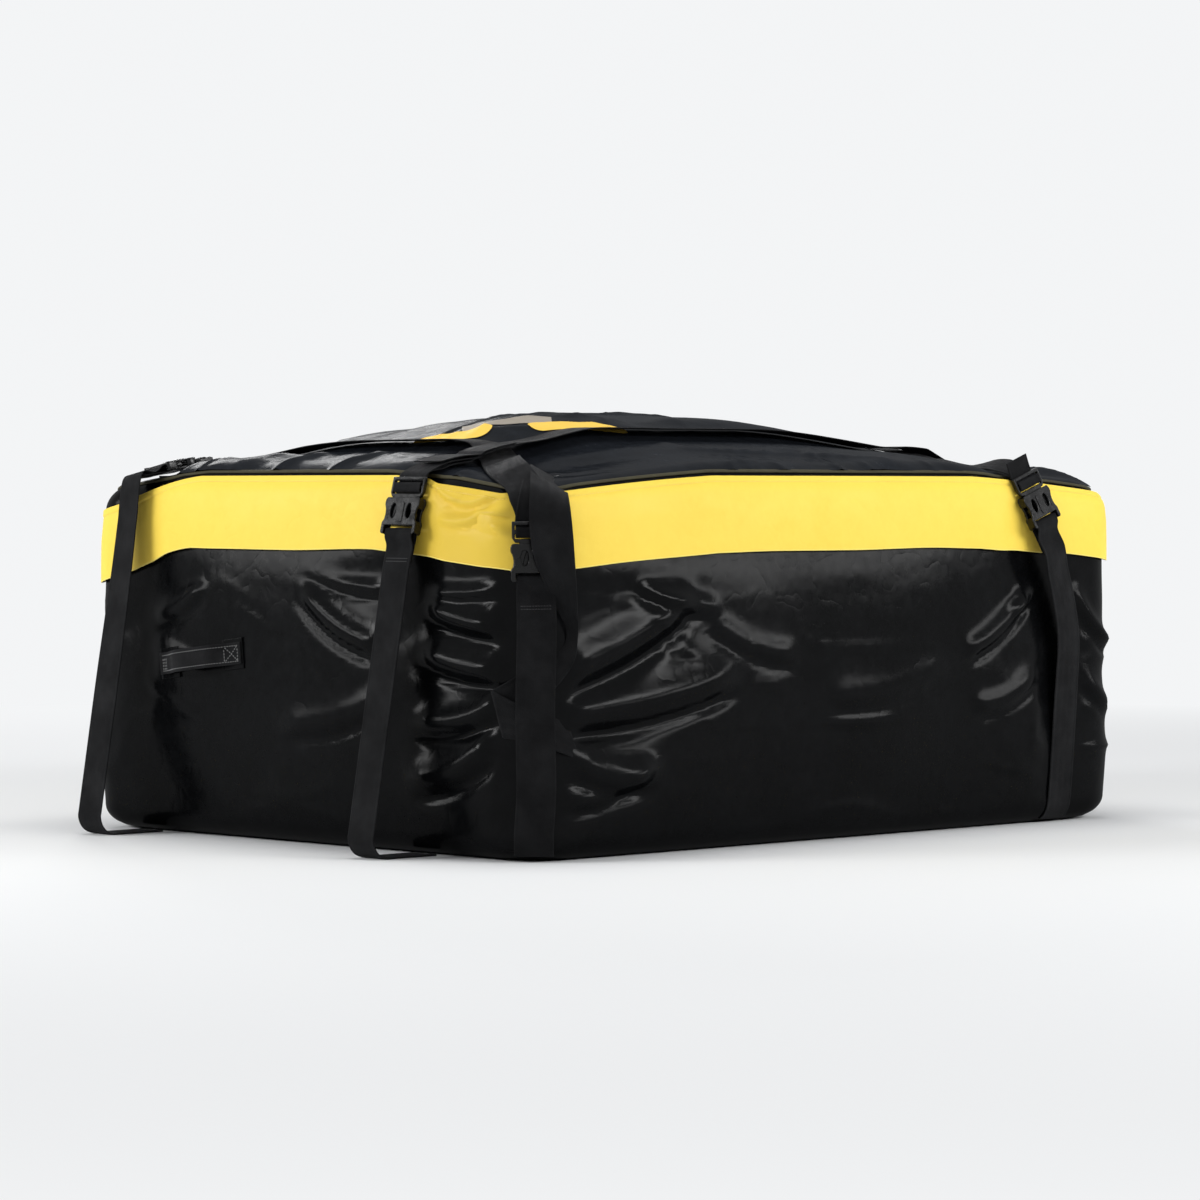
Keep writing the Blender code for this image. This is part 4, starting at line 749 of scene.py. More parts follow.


# %% Gathers placed one by one
# wall, place along it and height of one end, the same of the other end, half width, rise
GATHERS = (
    ("front", -0.545, 0.242, -0.325, 0.335, 0.027, 0.0095),
    ("front", -0.400, 0.352, -0.270, 0.318, 0.012, 0.0045),
    ("front", -0.545, 0.190, -0.245, 0.238, 0.025, 0.0090),
    ("front", -0.535, 0.140, -0.385, 0.112, 0.022, 0.0075),
    ("front", -0.560, 0.085, -0.400, 0.113, 0.018, 0.0055),
    ("front", -0.270, 0.300, -0.120, 0.255, 0.016, 0.0035),
    ("front", -0.050, 0.200, 0.180, 0.235, 0.020, 0.0030),
    ("front", 0.230, 0.250, 0.365, 0.330, 0.015, 0.0045),
    ("front", 0.250, 0.175, 0.375, 0.215, 0.016, 0.0035),
    ("front", 0.470, 0.330, 0.560, 0.250, 0.012, 0.0060),
    ("front", 0.465, 0.240, 0.555, 0.165, 0.014, 0.0050),
    ("front", 0.330, 0.300, 0.395, 0.350, 0.010, 0.0040),
    ("left", -0.430, 0.300, -0.255, 0.330, 0.016, 0.0085),
    ("left", -0.420, 0.352, -0.265, 0.345, 0.010, 0.0050),
    ("left", -0.430, 0.245, -0.250, 0.272, 0.018, 0.0085),
    ("left", -0.400, 0.205, -0.255, 0.175, 0.017, 0.0070),
    ("left", -0.380, 0.150, -0.245, 0.100, 0.021, 0.0070),
    ("left", -0.180, 0.270, -0.040, 0.338, 0.016, 0.0060),
    ("left", -0.195, 0.345, -0.030, 0.372, 0.011, 0.0035),
    ("left", -0.190, 0.205, 0.000, 0.165, 0.020, 0.0040),
    ("left", 0.180, 0.340, 0.290, 0.300, 0.014, 0.0040),
    ("right", -0.200, 0.260, -0.020, 0.330, 0.018, 0.0050),
    ("right", -0.410, 0.300, -0.250, 0.250, 0.016, 0.0045),
    ("right", 0.090, 0.350, 0.290, 0.330, 0.015, 0.0035),
    ("rear", 0.180, 0.300, 0.330, 0.350, 0.017, 0.0050),
    ("rear", -0.400, 0.330, -0.250, 0.260, 0.017, 0.0050),
    ("rear", -0.250, 0.180, 0.050, 0.150, 0.022, 0.0035),
    ("band", -0.330, 0.441, -0.280, 0.459, 0.0060, 0.0060),
    ("band", -0.385, 0.452, -0.330, 0.439, 0.0050, 0.0050),
    ("band", -0.425, 0.446, -0.365, 0.430, 0.0060, 0.0060),
    ("band", -0.365, 0.424, -0.300, 0.414, 0.0065, 0.0045),
    ("band", -0.420, 0.412, -0.385, 0.420, 0.0060, 0.0040),
)
# how much higher than the table the ridges are, and the dip under each as a share of its ridge
GATHER_GAIN, DIP_SHARE = 1.65, 0.50
print("gathers", len(GATHERS))


def gathered(wall, along, z):
    """Outward height of the gathers of one wall: a round ridge with a sharper dip under it."""
    total = np.zeros_like(z)
    for name, u0, z0, u1, z1, half_width, rise in GATHERS:
        if name != wall:
            continue
        run = np.array((u1 - u0, z1 - z0))
        length = np.hypot(*run)
        t = ((along - u0) * run[0] + (z - z0) * run[1]) / length**2
        aside = ((z - z0) * run[0] - (along - u0) * run[1]) / length * np.sign(run[0])
        aside = aside + min(0.010, 0.6 * half_width) * np.sin(math.pi * t)
        taper = smooth(t / 0.25 + 0.5) * smooth((1.0 - t) / 0.35 + 0.5)
        ridge = np.exp(-((np.abs(aside) / half_width) ** np.where(aside > 0.0, 1.5, 2.6)))
        dip = np.exp(-(((aside + 1.35 * half_width) / (0.42 * half_width)) ** 2))
        total += GATHER_GAIN * rise * taper * (ridge - DIP_SHARE * dip)
    return total


# %% How hard the straps hold the cloth
strap_places = []
for line in TIGHT_LINES.values():
    on_bag = stretch(line, 0.0, arc(line)[-1])
    strap_places.extend(on_bag)
strap_tree = KDTree(len(strap_places))
for n, place in enumerate(strap_places):
    strap_tree.insert(place, n)
strap_tree.balance()


def strap_distance(points):
    """Distance from each point to the nearest strap's middle line."""
    return np.array([strap_tree.find(point)[2] for point in points])


GRIP_REACH, GRIP_RUN = 0.072, 0.044


def grip_at(distance):
    """1 where a strap lies on the cloth, 0 from 7 cm away."""
    return smooth((GRIP_REACH - distance) / GRIP_RUN)


print("strap points", len(strap_places))

# %% Creases of the walls
# a strap presses the cloth in by this much and keeps this share of the creases away, the flap that share
PRESSED_IN, STRAP_HOLDS, FLAP_HOLDS = 0.0026, 0.92, 0.85
FLAP_TOP, FLAP_WIDTH, FLAP_DROOP = 0.464, 0.100, 0.026
print("flap from", round(FLAP_TOP - FLAP_WIDTH, 3), "to", FLAP_TOP, "m high")


def beside_straps(distance):
    """1 on the stretch of cloth just beside a strap, where it puckers."""
    return np.exp(-(((distance - 0.040) / 0.017) ** 2))


def near_wall(outward, half):
    """1 on the wall that faces this way, fading round the corner."""
    return smooth((outward - half + 0.05) / 0.05)


def wall_creases(points, distance):
    """How far each point of the walls stands out from the smooth form."""
    x, y, z = points.T
    hold = grip_at(distance)
    total = gathered("front", x, z) * near_wall(-y, HALF_WIDTH)
    total += gathered("rear", x, z) * near_wall(y, HALF_WIDTH)
    total += gathered("left", y, z) * near_wall(-x, HALF_LENGTH)
    total += gathered("right", y, z) * near_wall(x, HALF_LENGTH)
    # broad lumps of the load, level creases in patches, and slanted ones in others, each by its height
    total += 0.0042 * hills(points, 0.17)
    level = ridges(points, (0.24, 0.24, 0.060), 4.0) * smooth(0.5 + 1.5 * hills(points + 9.0, 0.20))
    total += 0.0050 * level
    slanted = points.copy()
    slanted[:, 2] += 0.35 * (points[:, 0] - points[:, 1])
    patches = smooth(2.0 * hills(points + 2.0, 0.14))
    total += 0.0034 * ridges(slanted + 4.0, (0.20, 0.20, 0.045), 5.0) * patches
    total += 0.0020 * beside_straps(distance) * hills(points, (0.050, 0.050, 0.020))
    total *= 1.0 - STRAP_HOLDS * hold
    under_flap = smooth((z - FLAP_TOP + FLAP_WIDTH + 0.035) / 0.035)
    total *= 1.0 - FLAP_HOLDS * under_flap
    total -= PRESSED_IN * hold
    return total * smooth((z - 0.006) / 0.045)


# %% Creases of the lid
def lid_creases(points, distance):
    """How far each point of the lid stands out from the smooth form."""
    hold = grip_at(distance)
    edge = np.minimum(HALF_LENGTH - np.abs(points[:, 0]), HALF_WIDTH - np.abs(points[:, 1]))
    total = 0.0060 * hills(points, 0.19)
    # creases along the bag, across it in patches, and short ones in other patches
    total += 0.0070 * ridges(points, (0.30, 0.085, 0.30), 5.0)
    patches = smooth(2.0 * hills(points + 1.0, 0.16))
    total += 0.0048 * ridges(points + 5.0, (0.075, 0.24, 0.24), 5.0) * patches
    total += 0.0018 * beside_straps(distance) * hills(points, (0.030, 0.030, 0.050))
    patches = smooth(0.4 + 1.5 * hills(points + 8.0, 0.12))
    total += 0.0040 * ridges(points + 3.0, (0.13, 0.050, 0.13), 5.0) * patches
    total *= (1.0 - STRAP_HOLDS * hold) * smooth((edge + 0.02) / 0.045)
    return total - PRESSED_IN * hold


def grid_normals(grid, closed):
    """Outward normals of a grid of points, one row after another."""
    if closed:
        side = np.roll(grid, -1, axis=1) - np.roll(grid, 1, axis=1)
    else:
        side = np.gradient(grid, axis=1)
    normal = np.cross(side, np.gradient(grid, axis=0))
    return normal / np.maximum(np.linalg.norm(normal, axis=2), 1e-12)[:, :, None]


# %% [markdown]
# ## Walls and lid
# On the real bag the four walls and the lid are separate cuts of cloth, joined by a bound seam. They could
# be one mesh here too, but two keep each one light and let the lid have its own duller finish, with a
# painted bluish sheen in its colour. Each starts as a fine grid of box points, moved to the full form and
# then along its normals by the creases.

# %% Creased grids
BASE_RINGS, WALL_ROWS = (0.35, 0.70, 0.90, 0.94, 0.97), 93
wall_rows = [wall_points(0.0, ring) for ring in BASE_RINGS]
wall_rows += [wall_points(height) for height in np.linspace(0.0, WALL_HEIGHT, WALL_ROWS)]
smooth_walls = np.stack([full_form(row) for row in wall_rows])
flat = smooth_walls.reshape(-1, 3)
wall_normals = grid_normals(smooth_walls, True).reshape(-1, 3)
creased_walls = flat + wall_normals * wall_creases(flat, strap_distance(flat))[:, None]
creased_walls = creased_walls.reshape(smooth_walls.shape)

smooth_lid = full_form(lid_points()).reshape(len(ALONG_X), len(ALONG_Y), 3)
lid_normals = -grid_normals(smooth_lid, False)
lid_normals *= np.sign(lid_normals[:, :, 2:3] + 1e-9)
flat = smooth_lid.reshape(-1, 3)
creased_lid = flat + lid_normals.reshape(-1, 3) * lid_creases(flat, strap_distance(flat))[:, None]
creased_lid = creased_lid.reshape(smooth_lid.shape)
print("grids", creased_walls.shape, creased_lid.shape)

# %% [markdown]
# ## Let the cloth settle
# Creases drawn by a formula are too regular: real cloth keeps its area, so a push at one place moves what
# is round it. A short cloth simulation does that. Every second grid point goes into one closed mesh, with
# some pressure from the load inside. It is held under the straps, under the flap and at the base. What it
# moves is then spread back over the fine grids, and capped, so nothing that lies on the bag loses its
# ground.

# %% One closed cloth from both grids
SETTLE_FRAMES, SETTLE_CAP = 12, 0.013


def lid_rim():
    """Places in the coarse lid grid of the points round its rim, in the order of the wall's columns."""
    last_x, last_y = len(ALONG_X) // 2, len(ALONG_Y) // 2
    front = [(n, 0) for n in range(last_x)]
    right = [(last_x, n) for n in range(last_y)]
    rear = [(n, last_y) for n in range(last_x, 0, -1)]
    left = [(0, n) for n in range(last_y, 0, -1)]
    return front + right + rear + left


def cloth_mesh(walls_grid, lid_grid):
    """Vertices and faces of the closed coarse cloth, and where the lid's points are among them."""
    rows, columns = walls_grid.shape[:2]
    number = np.full(lid_grid.shape[:2], -1)
    for n, place in enumerate(lid_rim()):
        number[place] = (rows - 1) * columns + n
    inner = np.argwhere(number < 0)
    number[number < 0] = rows * columns + np.arange(len(inner))
    points = np.concatenate((walls_grid.reshape(-1, 3), lid_grid[tuple(inner.T)]))
    faces = []
    for row in range(rows - 1):
        for n in range(columns):
            after = (n + 1) % columns
            low, high = row * columns, (row + 1) * columns
            faces.append((low + n, low + after, high + after, high + n))
    for i in range(number.shape[0] - 1):
        for j in range(number.shape[1] - 1):
            faces.append((number[i, j], number[i + 1, j], number[i + 1, j + 1], number[i, j + 1]))
    faces.append(tuple(range(columns - 1, -1, -1)))
    return points, faces, number


# %% Run the cloth
CLOTH_SETTINGS = {"quality": 3, "mass": 0.20, "tension_stiffness": 30.0, "compression_stiffness": 30.0,
                  "shear_stiffness": 12.0, "bending_stiffness": 5.0, "air_damping": 3.0, "pin_stiffness": 1.0,
                  "vertex_group_mass": "held", "use_pressure": True, "uniform_pressure_force": 1.6}


def settled_cloth(points, faces, held):
    """Where the points come to rest. Held is 0 to 1 for each point."""
    mesh_data = bpy.data.meshes.new("settling_cloth")
    mesh_data.from_pydata(points.tolist(), [], [tuple(int(n) for n in face) for face in faces])
    cloth = bpy.data.objects.new("settling_cloth", mesh_data)
    bpy.context.scene.collection.objects.link(cloth)
    group = cloth.vertex_groups.new(name="held")
    for n, weight in enumerate(held):
        if weight > 0.01:
            group.add([n], float(weight), "REPLACE")
    solver = cloth.modifiers.new("cloth", "CLOTH")
    for name, value in CLOTH_SETTINGS.items():
        setattr(solver.settings, name, value)
    solver.settings.effector_weights.gravity = 0.0
    solver.collision_settings.use_collision = False
    for step in range(1, SETTLE_FRAMES + 1):
        bpy.context.scene.frame_set(step)
    shape = cloth.evaluated_get(bpy.context.evaluated_depsgraph_get())
    rest = np.zeros(len(points) * 3, np.float32)
    shape.data.vertices.foreach_get("co", rest)
    bpy.data.objects.remove(cloth, do_unlink=True)
    bpy.data.meshes.remove(mesh_data)
    bpy.context.scene.frame_set(1)
    return rest.reshape(-1, 3).astype(float)


# %% From the coarse grid to the fine one
def doubled(values, axis, closed):
    """Twice as many rows of a grid, with each new one on a smooth curve through the old ones."""
    values = np.moveaxis(values, axis, 0)
    if closed:
        before, after, beyond = (np.roll(values, shift, axis=0) for shift in (1, -1, -2))
        middle = (9 * (values + after) - before - beyond) / 16
        made = np.stack((values, middle), axis=1).reshape(-1, *values.shape[1:])
    else:
        padded = np.concatenate((values[:1], values, values[-1:]))
        middle = (9 * (padded[1:-2] + padded[2:-1]) - padded[:-3] - padded[3:]) / 16
        made = np.empty((2 * len(values) - 1, *values.shape[1:]))
        made[::2], made[1::2] = values, middle
    return np.moveaxis(made, 0, axis)


# %% Spread the settled cloth over the fine grids
first = len(BASE_RINGS)
coarse_walls, coarse_lid = creased_walls[first::2, ::2], creased_lid[::2, ::2]
points, faces, number = cloth_mesh(coarse_walls, coarse_lid)
rows, columns = coarse_walls.shape[:2]
near = strap_distance(points)
# heights before the creases, and -1 on the lid
box_height = np.full(len(points), -1.0)
box_height[: rows * columns] = np.repeat(np.linspace(0.0, WALL_HEIGHT, rows), columns)
under_straps = smooth((0.040 - near) / 0.012)
at_base = smooth((0.030 - box_height) / 0.012) * (box_height >= 0.0)
under_flap = smooth((box_height - FLAP_TOP + FLAP_WIDTH - 0.004) / 0.014)
held = np.maximum(np.maximum(under_straps, at_base), under_flap)
moved = settled_cloth(points, faces, held) - points
size = np.linalg.norm(moved, axis=1)[:, None]
capped_size = SETTLE_CAP * np.tanh(size / SETTLE_CAP)
moved *= np.where(size > 1e-9, capped_size / np.maximum(size, 1e-9), 0.0)
print("settled cloth moved", round(float(size.max()) * 1000, 1), "mm at most,",
      round(float(size.mean()) * 1000, 2), "mm on average")
on_walls = moved[: rows * columns].reshape(coarse_walls.shape)
creased_walls[first:] += doubled(doubled(on_walls, 0, False), 1, True)
creased_lid += doubled(doubled(moved[number], 0, False), 1, False)
creased_walls[:, :, 2] = np.maximum(creased_walls[:, :, 2], 0.0)


# %% Walls
def capped(mesh_data, count):
    """Closes the first ring of a grid with one face."""
    form = bmesh.new()
    form.from_mesh(mesh_data)
    form.verts.ensure_lookup_table()
    form.faces.new([form.verts[n] for n in range(count)][::-1])
    form.to_mesh(mesh_data)
    form.free()
    return mesh_data


walls_mesh = capped(grid_mesh("bag_walls", list(creased_walls), True), len(OUTLINE))
walls = add_piece("bag_walls", walls_mesh, black_fabric)
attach(walls, "bag")
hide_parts("bag_body")
print("walls", len(walls.data.polygons), "faces")

# %% Lid
lid = add_piece("bag_lid", grid_mesh("bag_lid", list(creased_lid), False), lid_fabric)
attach(lid, "bag")
print("lid", len(lid.data.polygons), "faces")

# %% [markdown]
# ## Storm flap
# The flap is a strip of the same coated fabric in yellow. Its upper edge is folded under and stitched to
# the walls, and its lower edge hangs free over the zip, a little way off the wall, so it casts a thin
# shadow. It could be a flat ring with a thickness modifier. Drawn as a loop of rows instead, the folded
# edge, the seam and the waves of the free hem each get their own shape.


# %% Points held off the walls
def off_walls(height, standoff):
    """The outline on the walls at this box height, held off along the normals, and those normals."""
    height = np.broadcast_to(height, (len(OUTLINE),))
    here = full_form(wall_points(height))
    above = full_form(wall_points(np.minimum(height + 1e-3, WALL_HEIGHT)))
    below = full_form(wall_points(height - 1e-3))
    normal = np.cross(np.roll(here, -1, axis=0) - np.roll(here, 1, axis=0), above - below)
    normal /= np.linalg.norm(normal, axis=1)[:, None]
    return here + normal * np.asarray(standoff)[..., None], normal


def flap_droop():
    """How far the flap hangs at the far left corner, where the load leaves it slack."""
    x, y = OUTLINE.T
    return FLAP_DROOP * smooth((-x - HALF_LENGTH + 0.30) / 0.2) * smooth((y - 0.20) / 0.2)


def slider_room():
    """1 in the middle of the rear wall, where the flap clears the zip's sliders."""
    on_rear = OUTLINE[:, 1] >= HALF_WIDTH * 0.999
    return np.where(on_rear, smooth((0.26 - np.abs(OUTLINE[:, 0])) / 0.07), 0.0)


def corner_pinch():
    """1 on the short stretch of the left wall between its front strap and the near corner's strap."""
    x, y = OUTLINE.T
    on_left = smooth((-x - HALF_LENGTH + 0.02) / 0.02)
    return on_left * smooth((FRONT_STRAP_Y - 0.022 - y) / 0.025) * smooth((y + HALF_WIDTH - 0.028) / 0.030)


# %% Storm flap
FLAP_THICKNESS, FLAP_OFF, HEM_OFF, SLIDER_OFF = 0.0015, 0.0016, 0.0032, 0.0085
SEAM_SHARE, SEAM_FOLD, SEAM_DIP = 0.095, 0.0009, 0.0007
HEM_WAVE, LOOSE_WAVE = 0.0040, 0.0024
# shares of the flap's width, 0 at its upper edge and 1 at its hem
OUTER_SHARES = (0.0, 0.010, 0.035, 0.070, 0.086, 0.095, 0.104, 0.122, 0.15, 0.19, 0.23, 0.28, 0.33, 0.38,
                0.43, 0.48, 0.53, 0.58, 0.64, 0.70, 0.77, 0.84, 0.92, 0.985, 1.0)
INNER_SHARES = (1.0, 0.985, 0.9, 0.6, 0.3, 0.0)
flap_line, _ = off_walls(FLAP_TOP - FLAP_WIDTH / 2, 0.0)
flap_grip = grip_at(strap_distance(flap_line))
wave = hills(flap_line, 0.16) * 0.7 + hills(flap_line + 3.0, 0.06) * 0.3
pinch = corner_pinch()


def flap_face(share, inside):
    """One row of the flap, at a share of its width."""
    hem_wave = HEM_WAVE * share * hills(flap_line + 6.0, 0.15) * (1.0 - flap_grip)
    height = FLAP_TOP - FLAP_WIDTH * share - flap_droop() + hem_wave - 0.006 * pinch * (1.0 - share)
    lift = FLAP_OFF + HEM_OFF * min(1.0, share * 2.4) + SLIDER_OFF * slider_room() * min(1.0, share * 4)
    lift = lift + LOOSE_WAVE * smooth((share - 0.15) / 0.6) * (wave + 0.35) * (1.0 - flap_grip)
    lift = lift - FLAP_OFF * flap_grip * min(1.0, share * 2.0)
    spot = np.column_stack((flap_line[:, :2], height))
    dents = gathered("band", spot[:, 1], spot[:, 2]) + 0.0022 * (hills(spot + 2.0, 0.034) + 0.6)
    lift = lift + pinch * dents * smooth(share / 0.08) * smooth((0.95 - share) / 0.4)
    if not inside:
        folded = SEAM_FOLD * float(smooth((SEAM_SHARE - share) / 0.015 + 0.5))
        stitched = SEAM_DIP * math.exp(-(((share - SEAM_SHARE) / 0.012) ** 2))
        lift = lift + FLAP_THICKNESS + folded - stitched
    return off_walls(height, lift)[0]


flap_rows = [flap_face(share, False) for share in OUTER_SHARES]
flap_rows += [flap_face(share, True) for share in INNER_SHARES]
flap_rows.append(flap_rows[0])
flap_mesh = grid_mesh("storm_flap_cloth", flap_rows[::-1], True)
flap = add_piece("storm_flap_cloth", flap_mesh, yellow_fabric, yellow_edge)
# the last outer row, the cut edge and the first inner row show the paler cut
last_outer = len(OUTER_SHARES) - 2
for band in range(last_outer, last_outer + 3):
    first = (len(flap_rows) - 2 - band) * len(OUTLINE)
    for face in flap.data.polygons[first : first + len(OUTLINE)]:
        face.material_index = 1
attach(flap, "bag")
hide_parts("storm_flap")
print("storm flap", len(flap.data.polygons), "faces")

# %% [markdown]
# ## Bound edge and zip
# A thin bias tape binds the seam between walls and lid. It is a small round cord all the way round, which
# a curve with a bevel would give too; as rows of points it can follow the outline exactly. Under the flap
# runs the zip, a tape with a raised coil. Only its edge can ever be seen, so a few rows are enough.


# %% Bound edge
def ring_tube(name, line, normals, radius, sides, finish, flatten):
    """A closed tube round the bag, flattened along its normals."""
    ahead = np.roll(line, -1, axis=0) - np.roll(line, 1, axis=0)
    ahead /= np.linalg.norm(ahead, axis=1)[:, None]
    side = np.cross(ahead, normals)
    rows = []
    for angle in np.linspace(0.0, 2 * math.pi, sides + 1):
        rows.append(line + normals * (radius * flatten * math.cos(angle)) + side * (radius * math.sin(angle)))
    return add_piece(name, grid_mesh(name, rows, True), finish)


BINDING_RADIUS, BINDING_LIFT, BINDING_FLATTEN = 0.0030, 0.0008, 0.7
edge_line = creased_walls[-1]
inner_line = np.column_stack((edge_line[:, :2] * 0.8, np.full(len(edge_line), WALL_HEIGHT * 0.75)))
edge_away = edge_line - inner_line
edge_away /= np.linalg.norm(edge_away, axis=1)[:, None]
binding = coated_fabric("binding_olive", (0.050, 0.045, 0.026), (0.075, 0.070, 0.045), 0.45, 0.60, 0.3)
bound_edge = ring_tube("bound_edge", edge_line + edge_away * BINDING_LIFT, edge_away, BINDING_RADIUS, 10,
                       binding, BINDING_FLATTEN)
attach(bound_edge, "bag")
print("bound edge", round(float(arc(edge_line)[-1]), 3), "m round")

# %% Zip tape and coil
ZIP_HEIGHT, ZIP_HALF, TAPE_OFF, COIL_RISE, COIL_HALF = 0.402, 0.013, 0.0009, 0.0016, 0.28
zip_rows = []
for across in (-1.0, -0.9, -0.35, -0.30, -0.12, 0.0, 0.12, 0.30, 0.35, 0.9, 1.0):
    raised = COIL_RISE * max(0.0, 1.0 - (across / COIL_HALF) ** 2)
    zip_rows.append(off_walls(ZIP_HEIGHT + ZIP_HALF * across, TAPE_OFF + raised)[0])
zip_closed = add_piece("zip_tape_woven", grid_mesh("zip_tape_woven", zip_rows, True), zip_nylon)
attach(zip_closed, "bag")
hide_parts("zip_tape")
print("zip tape", len(zip_closed.data.polygons), "faces")

# %% [markdown]
# ## Stitches
# Thread is what tells a sewn bag from a moulded one. A bump map could draw it, but at the seams it stands
# out from the cloth and catches light. Each stitch here is a small bar that dips into the cloth at both
# ends. One helper lays a row of them along any line, and everything sewn uses it.


# %% Rows of stitches
# place along a stitch, how far it is off the cloth there, and its thickness, each a share or a length
STITCH_SECTIONS = ((0.0, -0.0005, 0.5), (0.2, 0.0, 1.0), (0.8, 0.0, 1.0), (1.0, -0.0005, 0.5))
STITCH_FACES = [(0, 3, 2, 1), (12, 13, 14, 15)]
for section in (0, 4, 8):
    for n in range(4):
        after = (n + 1) % 4
        STITCH_FACES.append((section + n, section + after, section + 4 + after, section + 4 + n))


def stitches(name, line, away, finish, pitch=0.0045, length=0.0032, thick=0.0007):
    """Stitches along a line that lies on the surface. Away is the outward direction at each point."""
    line, away = np.asarray(line, float), np.asarray(away, float)
    lengths = arc(line)
    starts = np.arange(pitch * 0.3, lengths[-1] - length, pitch)
    corners = []
    for share, sunk, size in STITCH_SECTIONS:
        spots = starts + length * share
        here, ahead = picked(line, lengths, spots), picked(line, lengths, spots + 0.0006)
        up = picked(away, lengths, spots)
        side = np.cross(up, ahead - here)
        side /= np.maximum(np.linalg.norm(side, axis=1), 1e-12)[:, None]
        for x, z in ((-1, -1), (1, -1), (1, 1), (-1, 1)):
            corners.append(here + side * (x * thick * size / 2) + up * (sunk + z * thick * size / 2))
    points = np.stack(corners, axis=1)
    faces = (np.array(STITCH_FACES)[None] + 16 * np.arange(len(starts))[:, None, None]).reshape(-1, 4)
    made = bpy.data.meshes.new(name)
    made.from_pydata(points.reshape(-1, 3).tolist(), [], faces.tolist())
    made.update()
    row = add_piece(name, made, finish)
    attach(row, "bag")
    return row


def closed_ring(values):
    return np.concatenate((values, values[:1]))


seam_line = closed_ring(flap_rows[OUTER_SHARES.index(SEAM_SHARE)])
seam_away = closed_ring(off_walls(FLAP_TOP - FLAP_WIDTH * SEAM_SHARE - flap_droop(), 0.0)[1])
flap_seam = stitches("flap_seam_stitches", seam_line, seam_away, yellow_thread)
print("flap seam", len(flap_seam.data.polygons) // len(STITCH_FACES), "stitches")

# %% [markdown]
# ## Print on the lid
# The real lid carries a printed graphic, of which the flat view shows only parts. The print is made plain
# here: rounded yellow bars and grey patches, repeated on both sides of the lid. It could be a colour mask in
# the fabric's material. As thin sheets laid on the lid it has the slight edge of real transfer print.


# %% Plain print
# the bars lie over the edges of the patches
BAR_LIFT, PATCH_LIFT = 0.0015, 0.0009


def printed(name, middle, length, width, degrees, finish, round_ends):
    """A thin sheet on the lid: a bar with round ends, or a rectangle."""
    turn = math.radians(degrees)
    lift = BAR_LIFT if round_ends else PATCH_LIFT
    ahead, side = np.array((math.cos(turn), math.sin(turn))), np.array((-math.sin(turn), math.cos(turn)))
    rows = []
    for along in length / 2 * np.sin(np.linspace(-math.pi / 2, math.pi / 2, 45)):
        half = width / 2
        if round_ends:
            past = max(0.0, abs(along) - (length - width) / 2)
            half = math.sqrt(max(half**2 - past**2, 0.0)) + 1e-5
        row = []
        for across in np.linspace(-1.0, 1.0, 11):
            x, y = np.array(middle) + ahead * along + side * across * half
            row.append((x, y, 1.0 - lid_ground.distance((x, y, 1.0), (0.0, 0.0, -1.0)) + lift))
        rows.append(np.array(row))
    made = grid_mesh(name, rows, False)
    made.flip_normals()
    sheet = add_piece(name, made, finish)
    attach(sheet, "bag")
    return sheet


lid_ground = Ground()
lid_ground.add(lid.data)
print_yellow = coated_fabric("print_yellow", (0.93, 0.62, 0.12), (0.86, 0.56, 0.10), 0.30, 0.45, 0.3, 0.10)
print_grey = coated_fabric("print_grey", (0.36, 0.32, 0.27), (0.28, 0.25, 0.21), 0.35, 0.50, 0.3, 0.10)
PRINT = (
    ("bar_short", (-0.388, -0.092), 0.120, 0.034, -76.0, print_yellow, True),
    ("bar_long", (-0.262, -0.203), 0.150, 0.034, -14.0, print_yellow, True),
    ("patch", (-0.322, -0.128), 0.120, 0.060, -42.0, print_grey, False),
)
for word, turn_round in (("near", 1.0), ("far", -1.0)):
    for name, (x, y), *rest in PRINT:
        printed(f"print_{name}_{word}", (x * turn_round, y * turn_round), *rest)
print("print", 2 * len(PRINT), "plain shapes")

# %% [markdown]
# ## Laying webbing
# Webbing is stiff across its width and lies in smooth curves. A shrinkwrap would press it into every
# crease under it. Here its centre line is lifted until both of its edges and its middle clear what is
# under it, and the lift is then evened out along the strap, so that it bridges small hollows as real
# webbing does. Its section has rounded selvedges, and its UV map is in metres for the weave.

# %% Webbing
STRAP_WIDTH, STRAP_THICKNESS = 0.050, 0.0016
# how far off rays start, how far off what is under it webbing stays, and how often its normals are evened
PROBE, CLEARANCE, SMOOTHINGS = 0.05, 0.0003, 12
# across the webbing, and through it, as shares of its width and its thickness
WEB_SECTION = ((-0.500, 0.00), (-0.494, 0.36), (-0.470, 0.50), (-0.420, 0.47), (-0.200, 0.46), (0.0, 0.46),
               (0.200, 0.46), (0.420, 0.47), (0.470, 0.50), (0.494, 0.36), (0.500, 0.00), (0.494, -0.36),
               (0.470, -0.50), (0.200, -0.46), (-0.200, -0.46), (-0.470, -0.50), (-0.494, -0.36))
ground = Ground()
for item in (walls, lid, flap, bound_edge):
    ground.add(item.data)


def bag_outward(place):
    """A rough outward direction, from the middle of the bag."""
    middle = np.array((np.clip(place[0], -HALF_LENGTH * 0.75, HALF_LENGTH * 0.75),
                       np.clip(place[1], -HALF_WIDTH * 0.7, HALF_WIDTH * 0.7),
                       min(place[2], 0.75 * WALL_HEIGHT)))
    return unit(place - middle)


